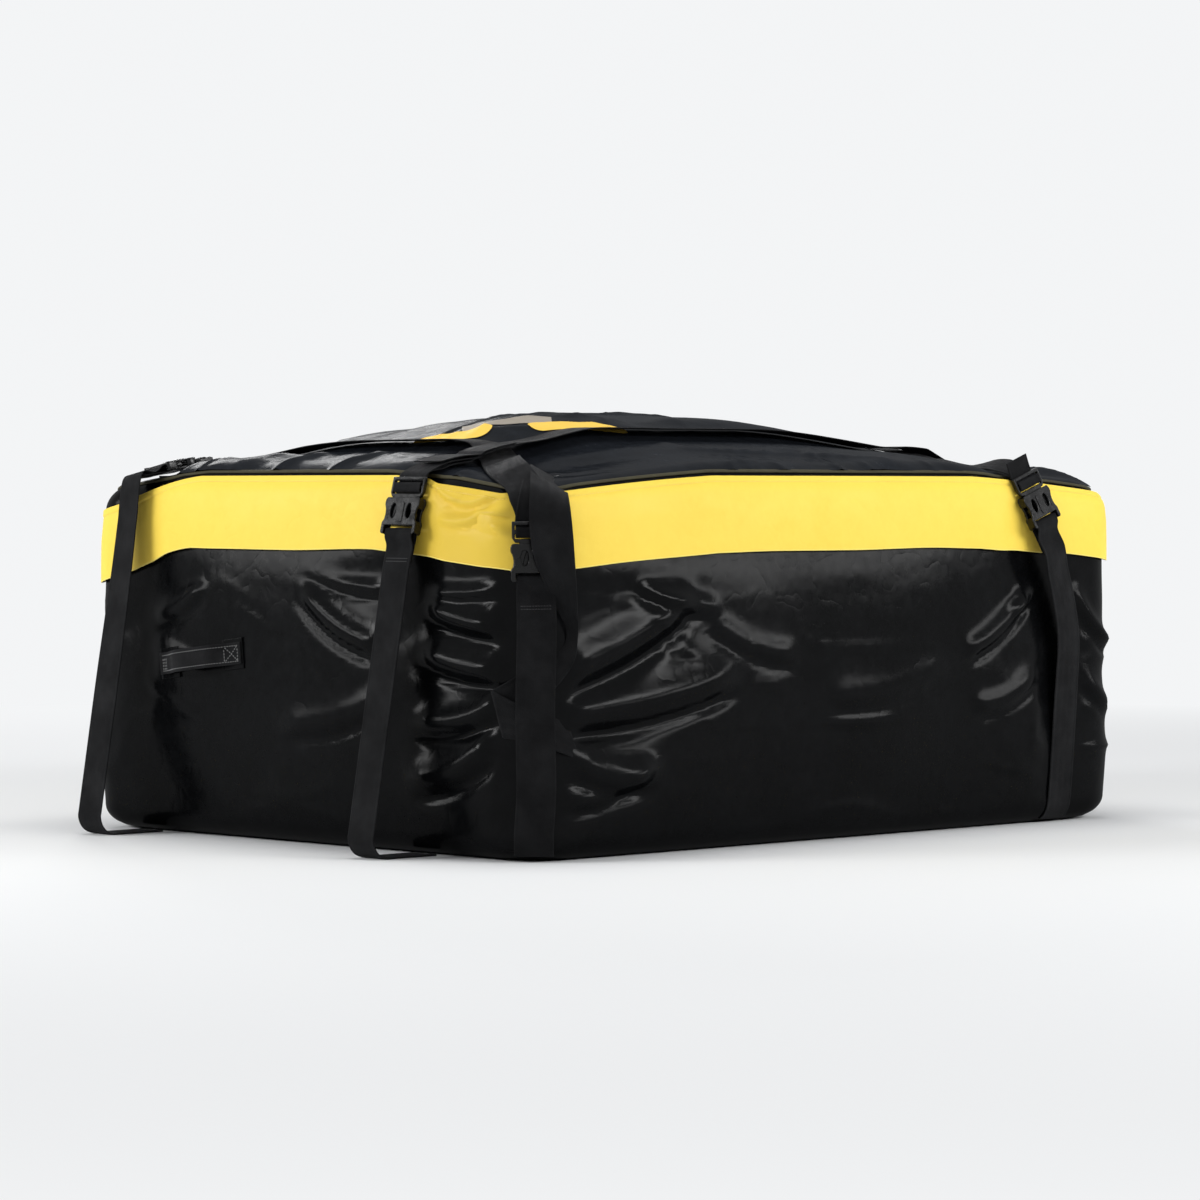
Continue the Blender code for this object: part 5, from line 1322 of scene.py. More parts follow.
def strap_frames(line):
    """Width direction and normal at each point of a line that lies on the bag."""
    ahead = np.gradient(line, axis=0)
    ahead /= np.linalg.norm(ahead, axis=1)[:, None]
    normal = np.array([bag_outward(p) for p in line])
    for _ in range(SMOOTHINGS):
        normal[1:-1] = (normal[:-2] + normal[1:-1] + normal[2:]) / 3
    normal -= np.sum(normal * ahead, axis=1)[:, None] * ahead
    normal /= np.linalg.norm(normal, axis=1)[:, None]
    return np.cross(ahead, normal), normal


print("ground", len(ground.trees), "surfaces")


# %% Laying webbing on what is under it
def evened(values, reach):
    """The smooth envelope over a row of numbers: the highest of its neighbours, then their average."""
    padded = np.pad(values, reach, mode="edge")
    highest = np.max([padded[n : n + len(values)] for n in range(2 * reach + 1)], axis=0)
    padded = np.pad(highest, reach, mode="edge")
    return np.mean([padded[n : n + len(values)] for n in range(2 * reach + 1)], axis=0)


def laid(centres, wide, normal, off=0.0, reach=3, width=STRAP_WIDTH, thickness=STRAP_THICKNESS, drop=0.004):
    """Lifts a strap's centre line along its normals until it clears all that is under it."""
    lift = np.full(len(centres), -drop)
    off = np.broadcast_to(off, (len(centres),))
    for n, (centre, side, away) in enumerate(zip(centres, wide, normal)):
        for share in (-0.5, -0.3, -0.1, 0.1, 0.3, 0.5):
            start = centre + side * width * share + away * PROBE
            found = ground.distance(start, -away, PROBE + 0.02)
            if found is not None:
                lift[n] = max(lift[n], PROBE - found + thickness / 2 + CLEARANCE + off[n])
    return centres + normal * evened(lift, reach)[:, None]


# %% A strip of webbing
def web_mesh(name, centres, wide, width=STRAP_WIDTH, thickness=STRAP_THICKNESS):
    """A strip of webbing along its centre line, with a UV map in metres."""
    centres, wide = np.asarray(centres), np.asarray(wide)
    ahead = np.gradient(centres, axis=0)
    ahead /= np.maximum(np.linalg.norm(ahead, axis=1), 1e-9)[:, None]
    up = np.cross(wide, ahead)
    up /= np.maximum(np.linalg.norm(up, axis=1), 1e-9)[:, None]
    rows = [centres + wide * (across * width) + up * (high * thickness) for across, high in WEB_SECTION]
    rows.append(rows[0])
    grid = np.stack(rows, axis=1)
    made = grid_mesh(name, list(grid), False)
    lengths = arc(centres)
    count = len(rows)
    across = np.array([section[0] for section in (*WEB_SECTION, WEB_SECTION[0])]) * width
    uv = np.column_stack((np.tile(across, len(centres)), np.repeat(lengths, count)))
    layer = made.uv_layers.new(name="weave")
    corners = np.zeros(len(made.loops), int)
    made.loops.foreach_get("vertex_index", corners)
    layer.data.foreach_set("uv", uv[corners].astype(np.float32).ravel())
    form = bmesh.new()
    form.from_mesh(made)
    form.verts.ensure_lookup_table()
    for first in (0, (len(centres) - 1) * count):
        form.faces.new([form.verts[first + n] for n in range(count - 1)][:: -1 if first else 1])
    bmesh.ops.recalc_face_normals(form, faces=form.faces)
    form.to_mesh(made)
    form.free()
    return made


# %% Where each buckle is
SOCKET_BACK, SOCKET_LENGTH, PLUG_FRAME_END = 0.0010, 0.048, 0.028
CAD_AXES = {joint["child"]: unit(joint["axis"]) for joint in frame["joints"]}


def node_points(name):
    points = np.zeros(len(frame["nodes"][name].data.vertices) * 3, np.float32)
    frame["nodes"][name].data.vertices.foreach_get("co", points)
    return points.reshape(-1, 3).astype(float)


def buckle_place(end):
    """X across the webbing, Y up the strap, Z away from the bag, and the middle of the socket's mouth."""
    points = node_points(f"buckle_socket_{end}")
    up = CAD_AXES[f"plug_{end}"]
    away = np.linalg.eigh(np.cov((points - points.mean(0)).T))[1][:, 0]
    away = unit(away - up * np.dot(away, up))
    away *= np.sign(np.dot(away, bag_outward(points.mean(0))))
    across = np.cross(up, away)
    middle = ((points @ across).max() + (points @ across).min()) / 2
    origin = across * middle + up * (points @ up).max()
    return across, up, away, origin + away * ((points @ away).min() - SOCKET_BACK)


# each one's directions across, up and away from the bag, and the middle of its mouth
BUCKLES = {end: buckle_place(end) for end in STRAP_ENDS}


def on_buckle(end, up_by, away_by, across_by=0.0):
    """A place given in a buckle's own directions, from the middle of its mouth."""
    across, up, away, origin = BUCKLES[end]
    return origin + across * across_by + up * up_by + away * away_by


def mouth_distance(end):
    """How far along its line the buckle's mouth is."""
    line = stretch(TIGHT_LINES[end], 0.0, arc(TIGHT_LINES[end])[-1], 0.002)
    return arc(line)[np.argmin(np.linalg.norm(line - BUCKLES[end][3], axis=1))]


for end in STRAP_ENDS:
    print(end, "buckle at", np.round(BUCKLES[end][3], 3), round(mouth_distance(end), 3), "m along")

# %% [markdown]
# ## Straps over the lid
# Four straps cross the lid, two each way. Each one runs from the seam near one buckle to the seam near the
# other. The two across the bag lie on the lid itself, and the two lengthwise ones lie over them, so they
# are laid in that order and each one becomes part of the ground for the next.

# %% Straps over the lid
# a strap end starts this far from its buckle, and the strap over the lid ends this far from it
LAP_START, LAP_END = 0.185, 0.125
# this lap leaves room for the neighbouring plug when both are released
SHORT_LAP = 0.143
LID_STRAPS = (("left", "front_left", "rear_left"), ("right", "front_right", "rear_right"),
              ("front", "left_front", "right_front"), ("rear", "left_rear", "right_rear"))


def lid_strap(name, first, second):
    there = stretch(TIGHT_LINES[first], 0.0, mouth_distance(first) - LAP_END)[::-1]
    back = stretch(TIGHT_LINES[second], 0.0, mouth_distance(second) - LAP_END)[1:]
    line = np.concatenate((there, back))
    wide, normal = strap_frames(line)
    centres = laid(line, wide, normal, reach=6)
    made = add_piece(f"lid_webbing_{name}", web_mesh(f"lid_webbing_{name}", centres, wide), webbing)
    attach(made, "bag")
    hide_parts(f"lid_strap_{name}")
    ground.add(made.data)
    return made


for name, first, second in LID_STRAPS:
    made = lid_strap(name, first, second)
    print(made.name, len(made.data.polygons), "faces")

# %% [markdown]
# ## Handles
# Each short wall has a grab handle: a piece of webbing sewn down at both ends over a patch of the black
# fabric and bowed out between them for the hand. The patches are laid on the wall like small straps. The
# grip is doubled webbing, so it is thicker than a strap and keeps its bow by itself.

# %% Patches and grips
HANDLE_LENGTH, HANDLE_WIDTH, HANDLE_BOW, HANDLE_THICKNESS = 0.172, 0.030, 0.016, 0.0022
HANDLE_HEIGHT, HANDLE_MIDDLE, HANDLE_TILT = 0.243, HALF_WIDTH - 0.278, 0.020
PATCH_SIZE, PATCH_THICKNESS = 0.042, 0.0012
PATCH_POINTS, GRIP_POINTS = 13, 61


def handle_line(side, reach, count):
    """Places along the handle before it is laid on the wall, its width, outward and length directions."""
    facing = np.array((side, 0.0, 0.0))
    along = unit((0.0, HANDLE_LENGTH, HANDLE_TILT * side))
    up = unit(np.cross(facing, along)) * side
    middle = np.array((side * HALF_LENGTH, HANDLE_MIDDLE, HANDLE_HEIGHT))
    places = np.array([middle + along * reach * t for t in np.linspace(-1.0, 1.0, count)])
    return places, np.tile(up, (count, 1)), np.tile(facing, (count, 1)), along


def handle(side, word):
    places, up, facing, along = handle_line(side, PATCH_SIZE / 2, PATCH_POINTS)
    for end, which in ((-1, "front"), (1, "rear")):
        middle = along * end * (HANDLE_LENGTH / 2 - PATCH_SIZE * 0.45)
        centres = laid(places + middle, up, facing, 0.0, 2, PATCH_SIZE, PATCH_THICKNESS, 0.05)
        name = f"handle_patch_cloth_{word}_{which}"
        patch = add_piece(name, web_mesh(name, centres, up, PATCH_SIZE, PATCH_THICKNESS), black_fabric)
        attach(patch, "bag")
        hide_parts(f"handle_patch_{word}_{which}")
        ground.add(patch.data)
    places, up, facing, along = handle_line(side, HANDLE_LENGTH / 2, GRIP_POINTS)
    share = np.abs(np.linspace(-1.0, 1.0, GRIP_POINTS))
    bow = HANDLE_BOW * smooth((0.72 - share) / 0.45)
    centres = laid(places, up, facing, bow, 3, HANDLE_WIDTH, HANDLE_THICKNESS, 0.05)
    name = f"handle_grip_{word}"
    grip = add_piece(name, web_mesh(name, centres, up, HANDLE_WIDTH, HANDLE_THICKNESS), handle_webbing)
    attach(grip, "bag")
    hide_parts(f"handle_{word}")
    ground.add(grip.data)
    return centres, up, facing


HANDLES = {word: handle(side, word) for side, word in ((-1, "left"), (1, "right"))}
for word, (grip_line, _, _) in HANDLES.items():
    print(word, "grip", round(float(arc(grip_line)[-1]), 3), "m")


# %% Handle stitches
# rows run along both sides of the grip, round and across a box at one end, and in three bars at the other
ROW_ASIDE, END_GAP, BOX, BARS = 0.0105, 0.004, (0.006, 0.030), (-0.008, -0.012, -0.016)
ROW_POINTS = 40


def on_grip(word, line):
    """Points on the grip's outer face from places along it and across it, and the outward directions."""
    centres, up, facing = HANDLES[word]
    ahead = np.gradient(centres, axis=0)
    away = np.cross(up, ahead)
    away *= np.sign(np.sum(away * facing, axis=1))[:, None]
    away /= np.linalg.norm(away, axis=1)[:, None]
    lengths = arc(centres)
    (first, first_aside), (last, last_aside) = line
    along, across = np.linspace(first, last, ROW_POINTS), np.linspace(first_aside, last_aside, ROW_POINTS)
    along = np.where(along < 0.0, lengths[-1] + along, along)
    here, outward = picked(centres, lengths, along), picked(away, lengths, along)
    return here + up[0] * across[:, None] + outward * HANDLE_THICKNESS / 2, outward


for word, (grip_line, _, _) in HANDLES.items():
    far = arc(grip_line)[-1] - END_GAP
    rows = {"upper": ((END_GAP, ROW_ASIDE), (far, ROW_ASIDE)),
            "lower": ((END_GAP, -ROW_ASIDE), (far, -ROW_ASIDE)),
            "box_0": ((BOX[0], -ROW_ASIDE), (BOX[0], ROW_ASIDE)),
            "box_1": ((BOX[1], -ROW_ASIDE), (BOX[1], ROW_ASIDE)),
            "cross_0": ((BOX[0], -ROW_ASIDE), (BOX[1], ROW_ASIDE)),
            "cross_1": ((BOX[0], ROW_ASIDE), (BOX[1], -ROW_ASIDE))}
    for n, place in enumerate(BARS):
        rows[f"bar_{n}"] = ((place, -ROW_ASIDE), (place, ROW_ASIDE))
    for name, line in rows.items():
        row = f"handle_stitches_{word}_{name}"
        stitches(row, *on_grip(word, line), grey_thread, 0.0042, 0.0030, 0.0009)
    print(word, "handle", len(rows), "rows of stitches")

# %% [markdown]
# ## Buckles
# A side-release buckle is two nylon mouldings. The plug has a ladder frame for the webbing, a guide and two
# springy prongs. The socket is a flat housing with a waist, open at the sides where fingers press the
# prongs, and a bar for the sewn strap. Plates cut from outlines with rounded edges build both of them. They
# are drawn once, in a frame whose Y runs up the strap from the socket's mouth, and set in eight places.


# %% Plates with rounded edges
def softened(outline, radius):
    """An outline with its corners rounded."""
    made = []
    for n, here in enumerate(outline):
        here = np.array(here)
        back, ahead = np.array(outline[n - 1]) - here, np.array(outline[(n + 1) % len(outline)]) - here
        first = here + unit(back) * min(radius, 0.45 * np.linalg.norm(back))
        last = here + unit(ahead) * min(radius, 0.45 * np.linalg.norm(ahead))
        for t in (0.0, 0.25, 0.5, 0.75, 1.0):
            made.append((1 - t) ** 2 * first + 2 * t * (1 - t) * here + t**2 * last)
    return made


def plate(outline, bottom, top, edge=0.0007, holes=(), radius=0.0015):
    """Points and faces of a plate. The holes run the other way round than the outline."""
    drawing = bpy.data.curves.new("plate", "CURVE")
    drawing.dimensions, drawing.fill_mode = "2D", "BOTH"
    drawing.extrude = (top - bottom) / 2 - edge
    drawing.bevel_depth, drawing.bevel_resolution, drawing.offset = edge, 2, -edge
    for shape in (softened(outline, radius), *holes):
        spline = drawing.splines.new("POLY")
        spline.points.add(len(shape) - 1)
        for point, (x, y) in zip(spline.points, shape):
            point.co = (x, y, 0.0, 1.0)
        spline.use_cyclic_u = True
    carrier = bpy.data.objects.new("plate", drawing)
    bpy.context.scene.collection.objects.link(carrier)
    graph = bpy.context.evaluated_depsgraph_get()
    graph.update()
    made = bpy.data.meshes.new_from_object(carrier.evaluated_get(graph))
    points = np.array([vertex.co for vertex in made.vertices]) + (0.0, 0.0, (bottom + top) / 2)
    faces = [tuple(face.vertices) for face in made.polygons]
    bpy.data.objects.remove(carrier, do_unlink=True)
    bpy.data.curves.remove(drawing)
    bpy.data.meshes.remove(made)
    return points, faces


def moulded_as_one(plates):
    """Points and faces of several plates in one form."""
    points, faces, count = [], [], 0
    for more_points, more_faces in plates:
        points.append(more_points)
        faces += [tuple(n + count for n in face) for face in more_faces]
        count += len(more_points)
    return np.concatenate(points), faces


def both_sides(right):
    """A whole outline from its right half."""
    return list(right) + [(-x, y) for x, y in reversed(right)]


def mirrored(outline):
    return [(-x, y) for x, y in outline]


def oblong(x0, x1, y0, y1):
    return [(x0, y0), (x1, y0), (x1, y1), (x0, y1)]


# %% Outlines of socket and plug
# how far up from the socket's mouth the plug's two slots are, and half their height
OUTER_SLOT = PLUG_FRAME_END - 0.008
INNER_SLOT, SLOT_HALF = OUTER_SLOT - 0.011, 0.0030
# outlines in metres: across from the middle, and up the strap from the socket's mouth
SOCKET_HALF = [(0.0290, 0.0), (0.0318, -0.0040), (0.0318, -0.0100), (0.0288, -0.0160), (0.0278, -0.0225),
               (0.0288, -0.0290), (0.0318, -0.0335), (0.0320, -0.0370)]
FRONT_CHEEK = [(0.0262, -0.0012), (0.0288, -0.0008), (0.0315, -0.0042), (0.0315, -0.0098), (0.0296, -0.0148),
               (0.0262, -0.0148)]
REAR_CHEEK = [(0.0264, -0.0302), (0.0290, -0.0302), (0.0316, -0.0340), (0.0320, -0.0455), (0.0300, -0.0480),
              (0.0264, -0.0480)]
PLUG_HALF = [(0.0300, 0.0280), (0.0300, 0.0070), (0.0260, 0.0010), (0.0207, 0.0010), (0.0192, -0.0070),
             (0.0222, -0.0153), (0.0252, -0.0211), (0.0240, -0.0292), (0.0202, -0.0340), (0.0167, -0.0330),
             (0.0157, -0.0238), (0.0130, -0.0136), (0.0117, -0.0110), (0.0102, -0.0070), (0.0068, -0.0070),
             (0.0050, -0.0100), (0.0050, -0.0316), (0.0035, -0.0340)]
BAR, END_STOP = oblong(-0.0290, 0.0290, -0.0480, -0.0430), oblong(-0.0265, 0.0265, -0.0370, -0.0348)
SPINE, PLUG_RIM = oblong(-0.0058, 0.0058, -0.0335, -0.0060), oblong(-0.0270, 0.0270, 0.0240, 0.0272)
RIB_PLACES, RIB_HALF = (-0.0275, -0.0225, -0.0175), 0.0010
# the two oval openings in the outer skin
OVAL_PLACES, OVAL_LEVEL, OVAL_ACROSS, OVAL_ALONG = (-0.0142, 0.0142), -0.0180, 0.0050, 0.0100
print("buckle outlines with", len(SOCKET_HALF), "and", len(PLUG_HALF), "points a side")


# %% Socket and plug
def socket_form():
    """The housing: two skins, the cheeks beside the windows, the bar, an end stop, a spine and grip ribs."""
    skin = both_sides(SOCKET_HALF)
    ovals = []
    for x in OVAL_PLACES:
        ovals.append([(x + OVAL_ACROSS * math.cos(a), OVAL_LEVEL + OVAL_ALONG * math.sin(a))
                      for a in np.radians(np.arange(0, 360, 18))])
    plates = [plate(skin, 0.0010, 0.0043, 0.0009), plate(skin, 0.0109, 0.0142, 0.0012, ovals)]
    for cheek in (FRONT_CHEEK, REAR_CHEEK):
        plates += [plate(shape, 0.0012, 0.0140, 0.0009) for shape in (cheek, mirrored(cheek))]
    plates.append(plate(BAR, 0.0052, 0.0096, 0.0016))
    plates.append(plate(END_STOP, 0.0040, 0.0112))
    plates.append(plate(SPINE, 0.0136, 0.0153, 0.0007, radius=0.0040))
    for y in RIB_PLACES:
        rib = oblong(0.0208, 0.0268, y - RIB_HALF, y + RIB_HALF)
        plates += [plate(shape, 0.0136, 0.0150, 0.0006, radius=0.0008) for shape in (rib, mirrored(rib))]
    return moulded_as_one(plates)


def plug_form():
    """The ladder frame with its two slots, the guide and the prongs in one plate, and a rim on the frame."""
    slots = []
    for y in (INNER_SLOT, OUTER_SLOT):
        slots.append(softened(oblong(-0.0262, 0.0262, y - SLOT_HALF, y + SLOT_HALF), 0.0012))
    frame_and_prongs = plate(both_sides(PLUG_HALF), 0.0050, 0.0102, 0.0010, slots, 0.0012)
    return moulded_as_one([frame_and_prongs, plate(PLUG_RIM, 0.0096, 0.0114, 0.0008)])


SOCKET, PLUG = socket_form(), plug_form()
print("socket", len(SOCKET[1]), "faces, plug", len(PLUG[1]), "faces")


# %% Set one half of a buckle
def set_buckle(name, form, end, body, cad_name):
    """Places a form in the directions of one of the eight buckles."""
    across, up, away, origin = BUCKLES[end]
    points, faces = form
    made = bpy.data.meshes.new(name)
    made.from_pydata((origin + points @ np.stack((across, up, away))).tolist(), [], faces)
    made.update()
    piece = add_piece(name, made, nylon)
    made.set_sharp_from_angle(angle=math.radians(38.0))
    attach(piece, body)
    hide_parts(cad_name)
    return piece


# %% [markdown]
# ## Strap ends
# Above each buckle a length of webbing is sewn on the lid strap. It goes down to the plug, round the
# ladder's middle bar and back up as a tail. When the buckle opens, the plug slides up the strap and this
# webbing has to give way, so the piece is left on no body instead of riding on the bag or the plug.

# %% Routes through the ladder
PLUG_BACK, PLUG_THICKNESS, LADDER_LEAD = 0.0050, 0.0052, 0.024
# how far off the bag webbing runs: behind the plug, as a second layer on that, and in front of the plug
UNDER = STRAP_THICKNESS / 2 + 0.0002
SECOND = UNDER + STRAP_THICKNESS + 0.0004
OVER = PLUG_BACK + PLUG_THICKNESS + STRAP_THICKNESS / 2 + 0.0004
# how far up the strap from the socket's mouth, and how far off
LADDER_ROUTE = ((PLUG_FRAME_END + 0.008, UNDER), (OUTER_SLOT, UNDER), (INNER_SLOT + 0.001, UNDER),
                (INNER_SLOT - 0.0012, 0.0045), (INNER_SLOT + 0.0006, OVER),
                ((INNER_SLOT + OUTER_SLOT) / 2, OVER), (OUTER_SLOT - 0.0006, OVER),
                (OUTER_SLOT + 0.0012, 0.0055), (OUTER_SLOT + 0.003, SECOND), (PLUG_FRAME_END + 0.006, SECOND))
print("ladder route", len(LADDER_ROUTE), "knots")


# %% Loose tails
# how far aside of the strap, how high, how far off what is under it, share of its width, lean in degrees
TAIL_KNOTS = (
    (0.006, 0.4700, 0.0150, 1.00, -8.0), (0.010, 0.4880, 0.0230, 1.00, -22.0),
    (0.014, 0.4900, 0.0300, 1.02, -30.0), (0.018, 0.4680, 0.0310, 1.06, -22.0),
    (0.020, 0.4250, 0.0270, 1.10, -8.0), (0.025, 0.3800, 0.0150, 1.04, -10.0),
    (0.036, 0.3300, 0.0190, 0.72, -18.0), (0.046, 0.2880, 0.0060, 0.34, -30.0),
    (0.036, 0.2560, 0.0000, 0.50, -34.0), (-0.004, 0.2230, 0.0000, 0.90, -40.0),
    (-0.038, 0.1960, 0.0000, 1.10, -62.0), (-0.049, 0.1880, 0.0012, 1.22, -76.0),
    (-0.046, 0.1870, 0.0028, 1.22, -78.0), (-0.020, 0.1790, 0.0028, 1.05, -74.0),
    (0.018, 0.1650, 0.0026, 1.00, -72.0), (0.048, 0.1530, 0.0020, 1.00, -72.0),
)
# how far up the strap from the buckle's mouth, and how far off what is under it
FOLDED_KNOTS = ((0.060, 0.0045), (0.090, 0.0050), (0.118, 0.0050), (0.124, 0.0070), (0.118, 0.0088),
                (0.085, 0.0095), (0.050, 0.0105))


def strip_rows(places, wide):
    """Rows of six numbers for a strip of webbing: each place with its width direction."""
    return [(*place, *side) for place, side in zip(places, np.broadcast_to(wide, (len(places), 3)))]


def hanging_tail(end):
    """Rows of the long loose end at the near corner."""
    across, _, _, middle = BUCKLES[end]
    facing = unit((*STRAP_ENDS[end][4], 0.0))
    sideways = unit(np.cross((0.0, 0.0, 1.0), facing))
    side = np.sign(np.dot(sideways, across))
    rows = []
    for aside, height, lift, share, lean in TAIL_KNOTS:
        start = np.array((middle[0], middle[1], height)) + sideways * aside + facing * 0.3
        place = start - facing * (ground.distance(start, -facing) - lift - 0.0012)
        tilt = math.radians(lean)
        leaning = (sideways * math.cos(tilt) + np.array((0.0, 0.0, math.sin(tilt)))) * share * side
        rows.append((*place, *leaning))
    return rows


def folded_tail(end):
    """Rows of the end that is folded back on the lid."""
    line, mouth = TIGHT_LINES[end], mouth_distance(end)
    normals = strap_frames(line)[1]
    places = []
    for up_by, lift in FOLDED_KNOTS:
        away = normals[np.argmin(np.abs(arc(line) - mouth + up_by))]
        start = at(line, mouth - up_by) + away * PROBE
        places.append(start - away * (ground.distance(start, -away, 0.1) - lift - 0.003))
    return strip_rows(places, BUCKLES[end][0])


# %% Strap ends
def strap_end(end):
    """From the lap on the lid strap, down to the plug, through its ladder, and on as a tail."""
    across, line, mouth = BUCKLES[end][0], TIGHT_LINES[end], mouth_distance(end)
    lap = SHORT_LAP if end == "rear_left" else LAP_START
    run = stretch(line, mouth - lap, mouth - PLUG_FRAME_END - LADDER_LEAD)
    wide, normal = strap_frames(run)
    wide *= np.sign(np.dot(wide[-1], across))
    turn = smooth(np.linspace(-0.6, 1.0, len(run)))[:, None]
    wide = wide * (1 - turn) + across * turn
    wide /= np.linalg.norm(wide, axis=1)[:, None]
    rows = strip_rows(laid(run, wide, normal), wide)
    rows += strip_rows([on_buckle(end, *knot) for knot in LADDER_ROUTE], across)
    if end == "front_left":
        rows += hanging_tail(end)
    elif end == "left_front":
        rows += folded_tail(end)
    else:
        rows += strip_rows([on_buckle(end, PLUG_FRAME_END + LADDER_LEAD, SECOND + 0.0030)], across)
    curve = eased(rows, 0.0025)
    name = f"strap_end_webbing_{end}"
    made = add_piece(name, web_mesh(name, curve[:, :3], curve[:, 3:6]), webbing)
    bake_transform(made)
    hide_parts(f"strap_end_{end}")
    return made


# %% [markdown]
# ## Straps below the buckles
# Each socket has a bar, and a strap is sewn round it in a small loop. The straps on the long walls go down
# and under the base. The ones on the short walls lean out to the rack's side rails and turn back under
# them, so they hang free of the wall and only their width needs turning.


# %% Drawn tight
# how far below its buckle a strap's sideways shift has faded out
TURN_LENGTH = 0.15


def drawn_tight(start, points, facing, aside):
    """A taut strap: outward it bridges every hollow, and sideways it leaves its buckle without a kink."""
    run = arc(np.vstack((start, points)))
    out = np.array((start, *points)) @ facing
    touching = [0]
    for n in range(1, len(out)):
        while len(touching) > 1:
            before, last = touching[-2:]
            rise, reach = out[last] - out[before], run[last] - run[before]
            if rise * (run[n] - run[before]) > reach * (out[n] - out[before]):
                break
            touching.pop()
        touching.append(n)
    tight = np.interp(run, run[touching], out[touching])
    fade = smooth(1.0 - run / TURN_LENGTH)
    return points + (tight - out)[1:, None] * facing + fade[1:, None] * aside


# %% The ends of a lower strap
BAR_BACK, BAR_THICKNESS, SEWN_END = 0.0052, 0.0044, 0.040
ROUND_BAR = BAR_BACK + BAR_THICKNESS + STRAP_THICKNESS / 2 + 0.0004
# how far up from the end of the socket, and how far off the bag
LOOP_ROUTE = ((-0.036, UNDER), (-0.012, UNDER), (0.006, UNDER), (0.0085, 0.0050), (0.0065, ROUND_BAR),
              (0.002, ROUND_BAR), (-0.0045, ROUND_BAR - 0.0012), (-0.012, SECOND + 0.0016),
              (-0.020, SECOND), (-SEWN_END, SECOND))
# the strap is laid on the wall from here on, below the end of the socket
WALL_START = 0.066
print("loop route", len(LOOP_ROUTE), "knots")


def round_the_rail(foot, facing):
    """Places round the curl at the rack's rail, and back in to under the base's edge."""
    places = []
    for angle in np.radians(np.arange(12.0, 91.0, 13.0)):
        inward = facing * LEG_CURL_RADIUS * (1 - math.cos(angle))
        places.append(foot - inward - np.array((0.0, 0.0, LEG_CURL_RADIUS * math.sin(angle))))
    curl_end = places[-1]
    tuck = foot - facing * (np.dot(foot, facing) - HALF_LENGTH + BASE_EDGE_RADIUS * 0.4)
    tuck[2] = LEG_FLOOR
    return places + [curl_end + (tuck - curl_end) * share for share in (0.25, 0.5, 0.75, 1.0)]


def round_the_base(foot, facing):
    """Places round the base's lower edge, and their outward directions."""
    centre = foot - facing * BASE_EDGE_RADIUS
    centre[2] = BASE_EDGE_RADIUS
    places, normals = [], []
    for angle in np.radians(np.arange(6.0, 61.0, 6.0)):
        direction = facing * math.cos(angle) - np.array((0.0, 0.0, math.sin(angle)))
        reach = ground.distance(centre + direction * 0.1, -direction)
        places.append(centre + direction * (0.1 - reach + 0.0012))
        normals.append(direction)
    return places, normals


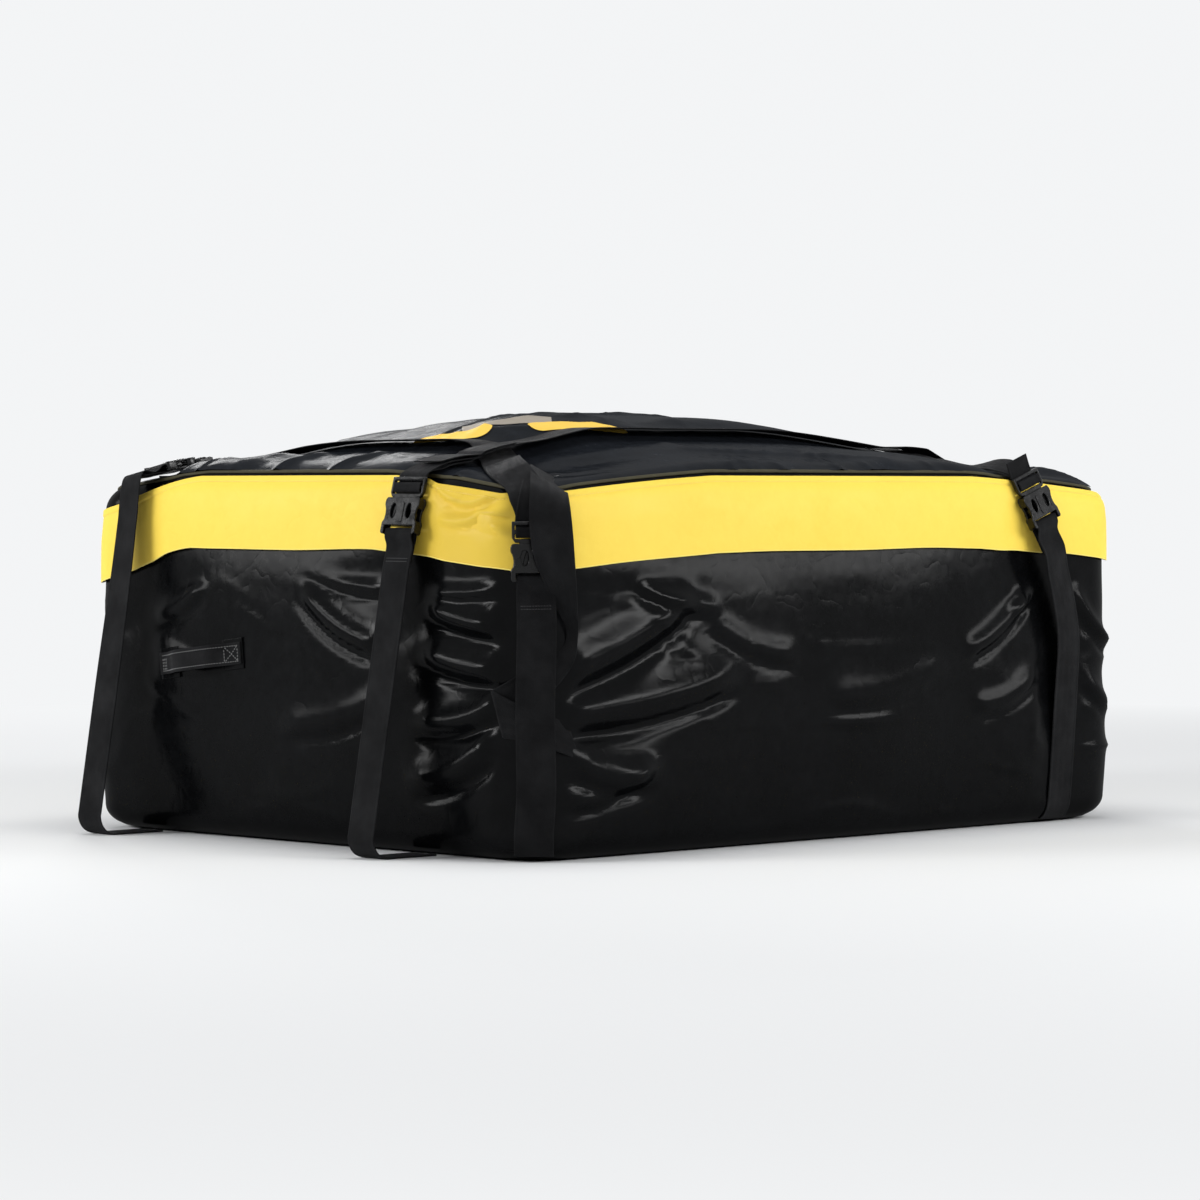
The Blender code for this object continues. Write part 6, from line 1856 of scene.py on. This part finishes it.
# %% Lower straps
def lower_strap(end):
    """A loop round the socket's bar, down the wall or out to the rack, and in at the bottom."""
    across, line, mouth = BUCKLES[end][0], TIGHT_LINES[end], mouth_distance(end)
    facing = unit((*STRAP_ENDS[end][4], 0.0))
    sideways = unit(np.cross(facing, (0.0, 0.0, 1.0)))
    sideways *= np.sign(np.dot(sideways, across))
    loop = [on_buckle(end, up_by - SOCKET_LENGTH, off) for up_by, off in LOOP_ROUTE]
    down = stretch(line, mouth + SOCKET_LENGTH + WALL_START, arc(line)[-1])
    turn = smooth(np.linspace(0.15, 1.5, len(down)))[:, None]
    wide = across * (1 - turn) + sideways * turn
    wide /= np.linalg.norm(wide, axis=1)[:, None]
    normals = [facing] * len(down)
    if STRAP_ENDS[end][5]:
        points = np.array([*down, *round_the_rail(down[-1], facing)])
        free, drop = len(down) - 1, 0.0
    else:
        below, more_normals = round_the_base(down[-1], facing)
        points = np.array([*down, *below])
        normals += more_normals
        free, drop = len(points), 0.003
    wide = np.array([*wide, *[sideways] * (len(points) - len(down))])
    lifted = laid(points[:free], wide[:free], np.array(normals)[:free], reach=8, drop=drop)
    aside = sideways * np.dot(loop[-1] - at(line, mouth + SOCKET_LENGTH + SEWN_END), sideways)
    points[:free] = drawn_tight(loop[-1], lifted, facing, aside)
    curve = eased(strip_rows(loop, across) + strip_rows(points, wide))
    name = f"lower_webbing_{end}"
    made = add_piece(name, web_mesh(name, curve[:, :3], curve[:, 3:6]), webbing)
    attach(made, "bag")
    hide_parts(f"lower_strap_{end}")
    return made


# %% Set the eight buckles and their straps
# two rows of stitches close the loop, this far below the socket and this far to both sides
LOOP_ROWS, LOOP_ROW_ASIDE = (0.0305, 0.0345), 0.021
for end in STRAP_ENDS:
    for kind in ("plug", "socket"):
        ground.add(frame["nodes"][f"buckle_{kind}_{end}"].data)
    upper = strap_end(end)
    lower = lower_strap(end)
    set_buckle(f"socket_moulded_{end}", SOCKET, end, "bag", f"buckle_socket_{end}")
    set_buckle(f"plug_moulded_{end}", PLUG, end, f"plug_{end}", f"buckle_plug_{end}")
    away = BUCKLES[end][2]
    for n, below in enumerate(LOOP_ROWS):
        on_loop = [on_buckle(end, -SOCKET_LENGTH - below, SECOND + STRAP_THICKNESS / 2, x)
                   for x in (-LOOP_ROW_ASIDE, LOOP_ROW_ASIDE)]
        stitches(f"loop_stitches_{end}_{n}", on_loop, [away, away], black_thread, 0.0036, 0.0026, 0.0008)
    ground.add(upper.data)
    ground.add(lower.data)
    print(end, len(upper.data.polygons) + len(lower.data.polygons), "faces of webbing")

# %% Nylon on the zip's sliders and pulls
for word in ("left", "right"):
    for kind in ("slider", "pull"):
        node = frame["nodes"][f"zip_{kind}_{word}"]
        node.data.materials.clear()
        node.data.materials.append(zip_nylon)
        print(node.name, "in", zip_nylon.name)

# %% [markdown]
# ## Clearing up
# The plain walls and lid, which gave the first rays their ground, are no longer needed and are removed.

# %% Remove the plain meshes
for plain in (plain_walls, plain_lid):
    bpy.data.meshes.remove(plain)
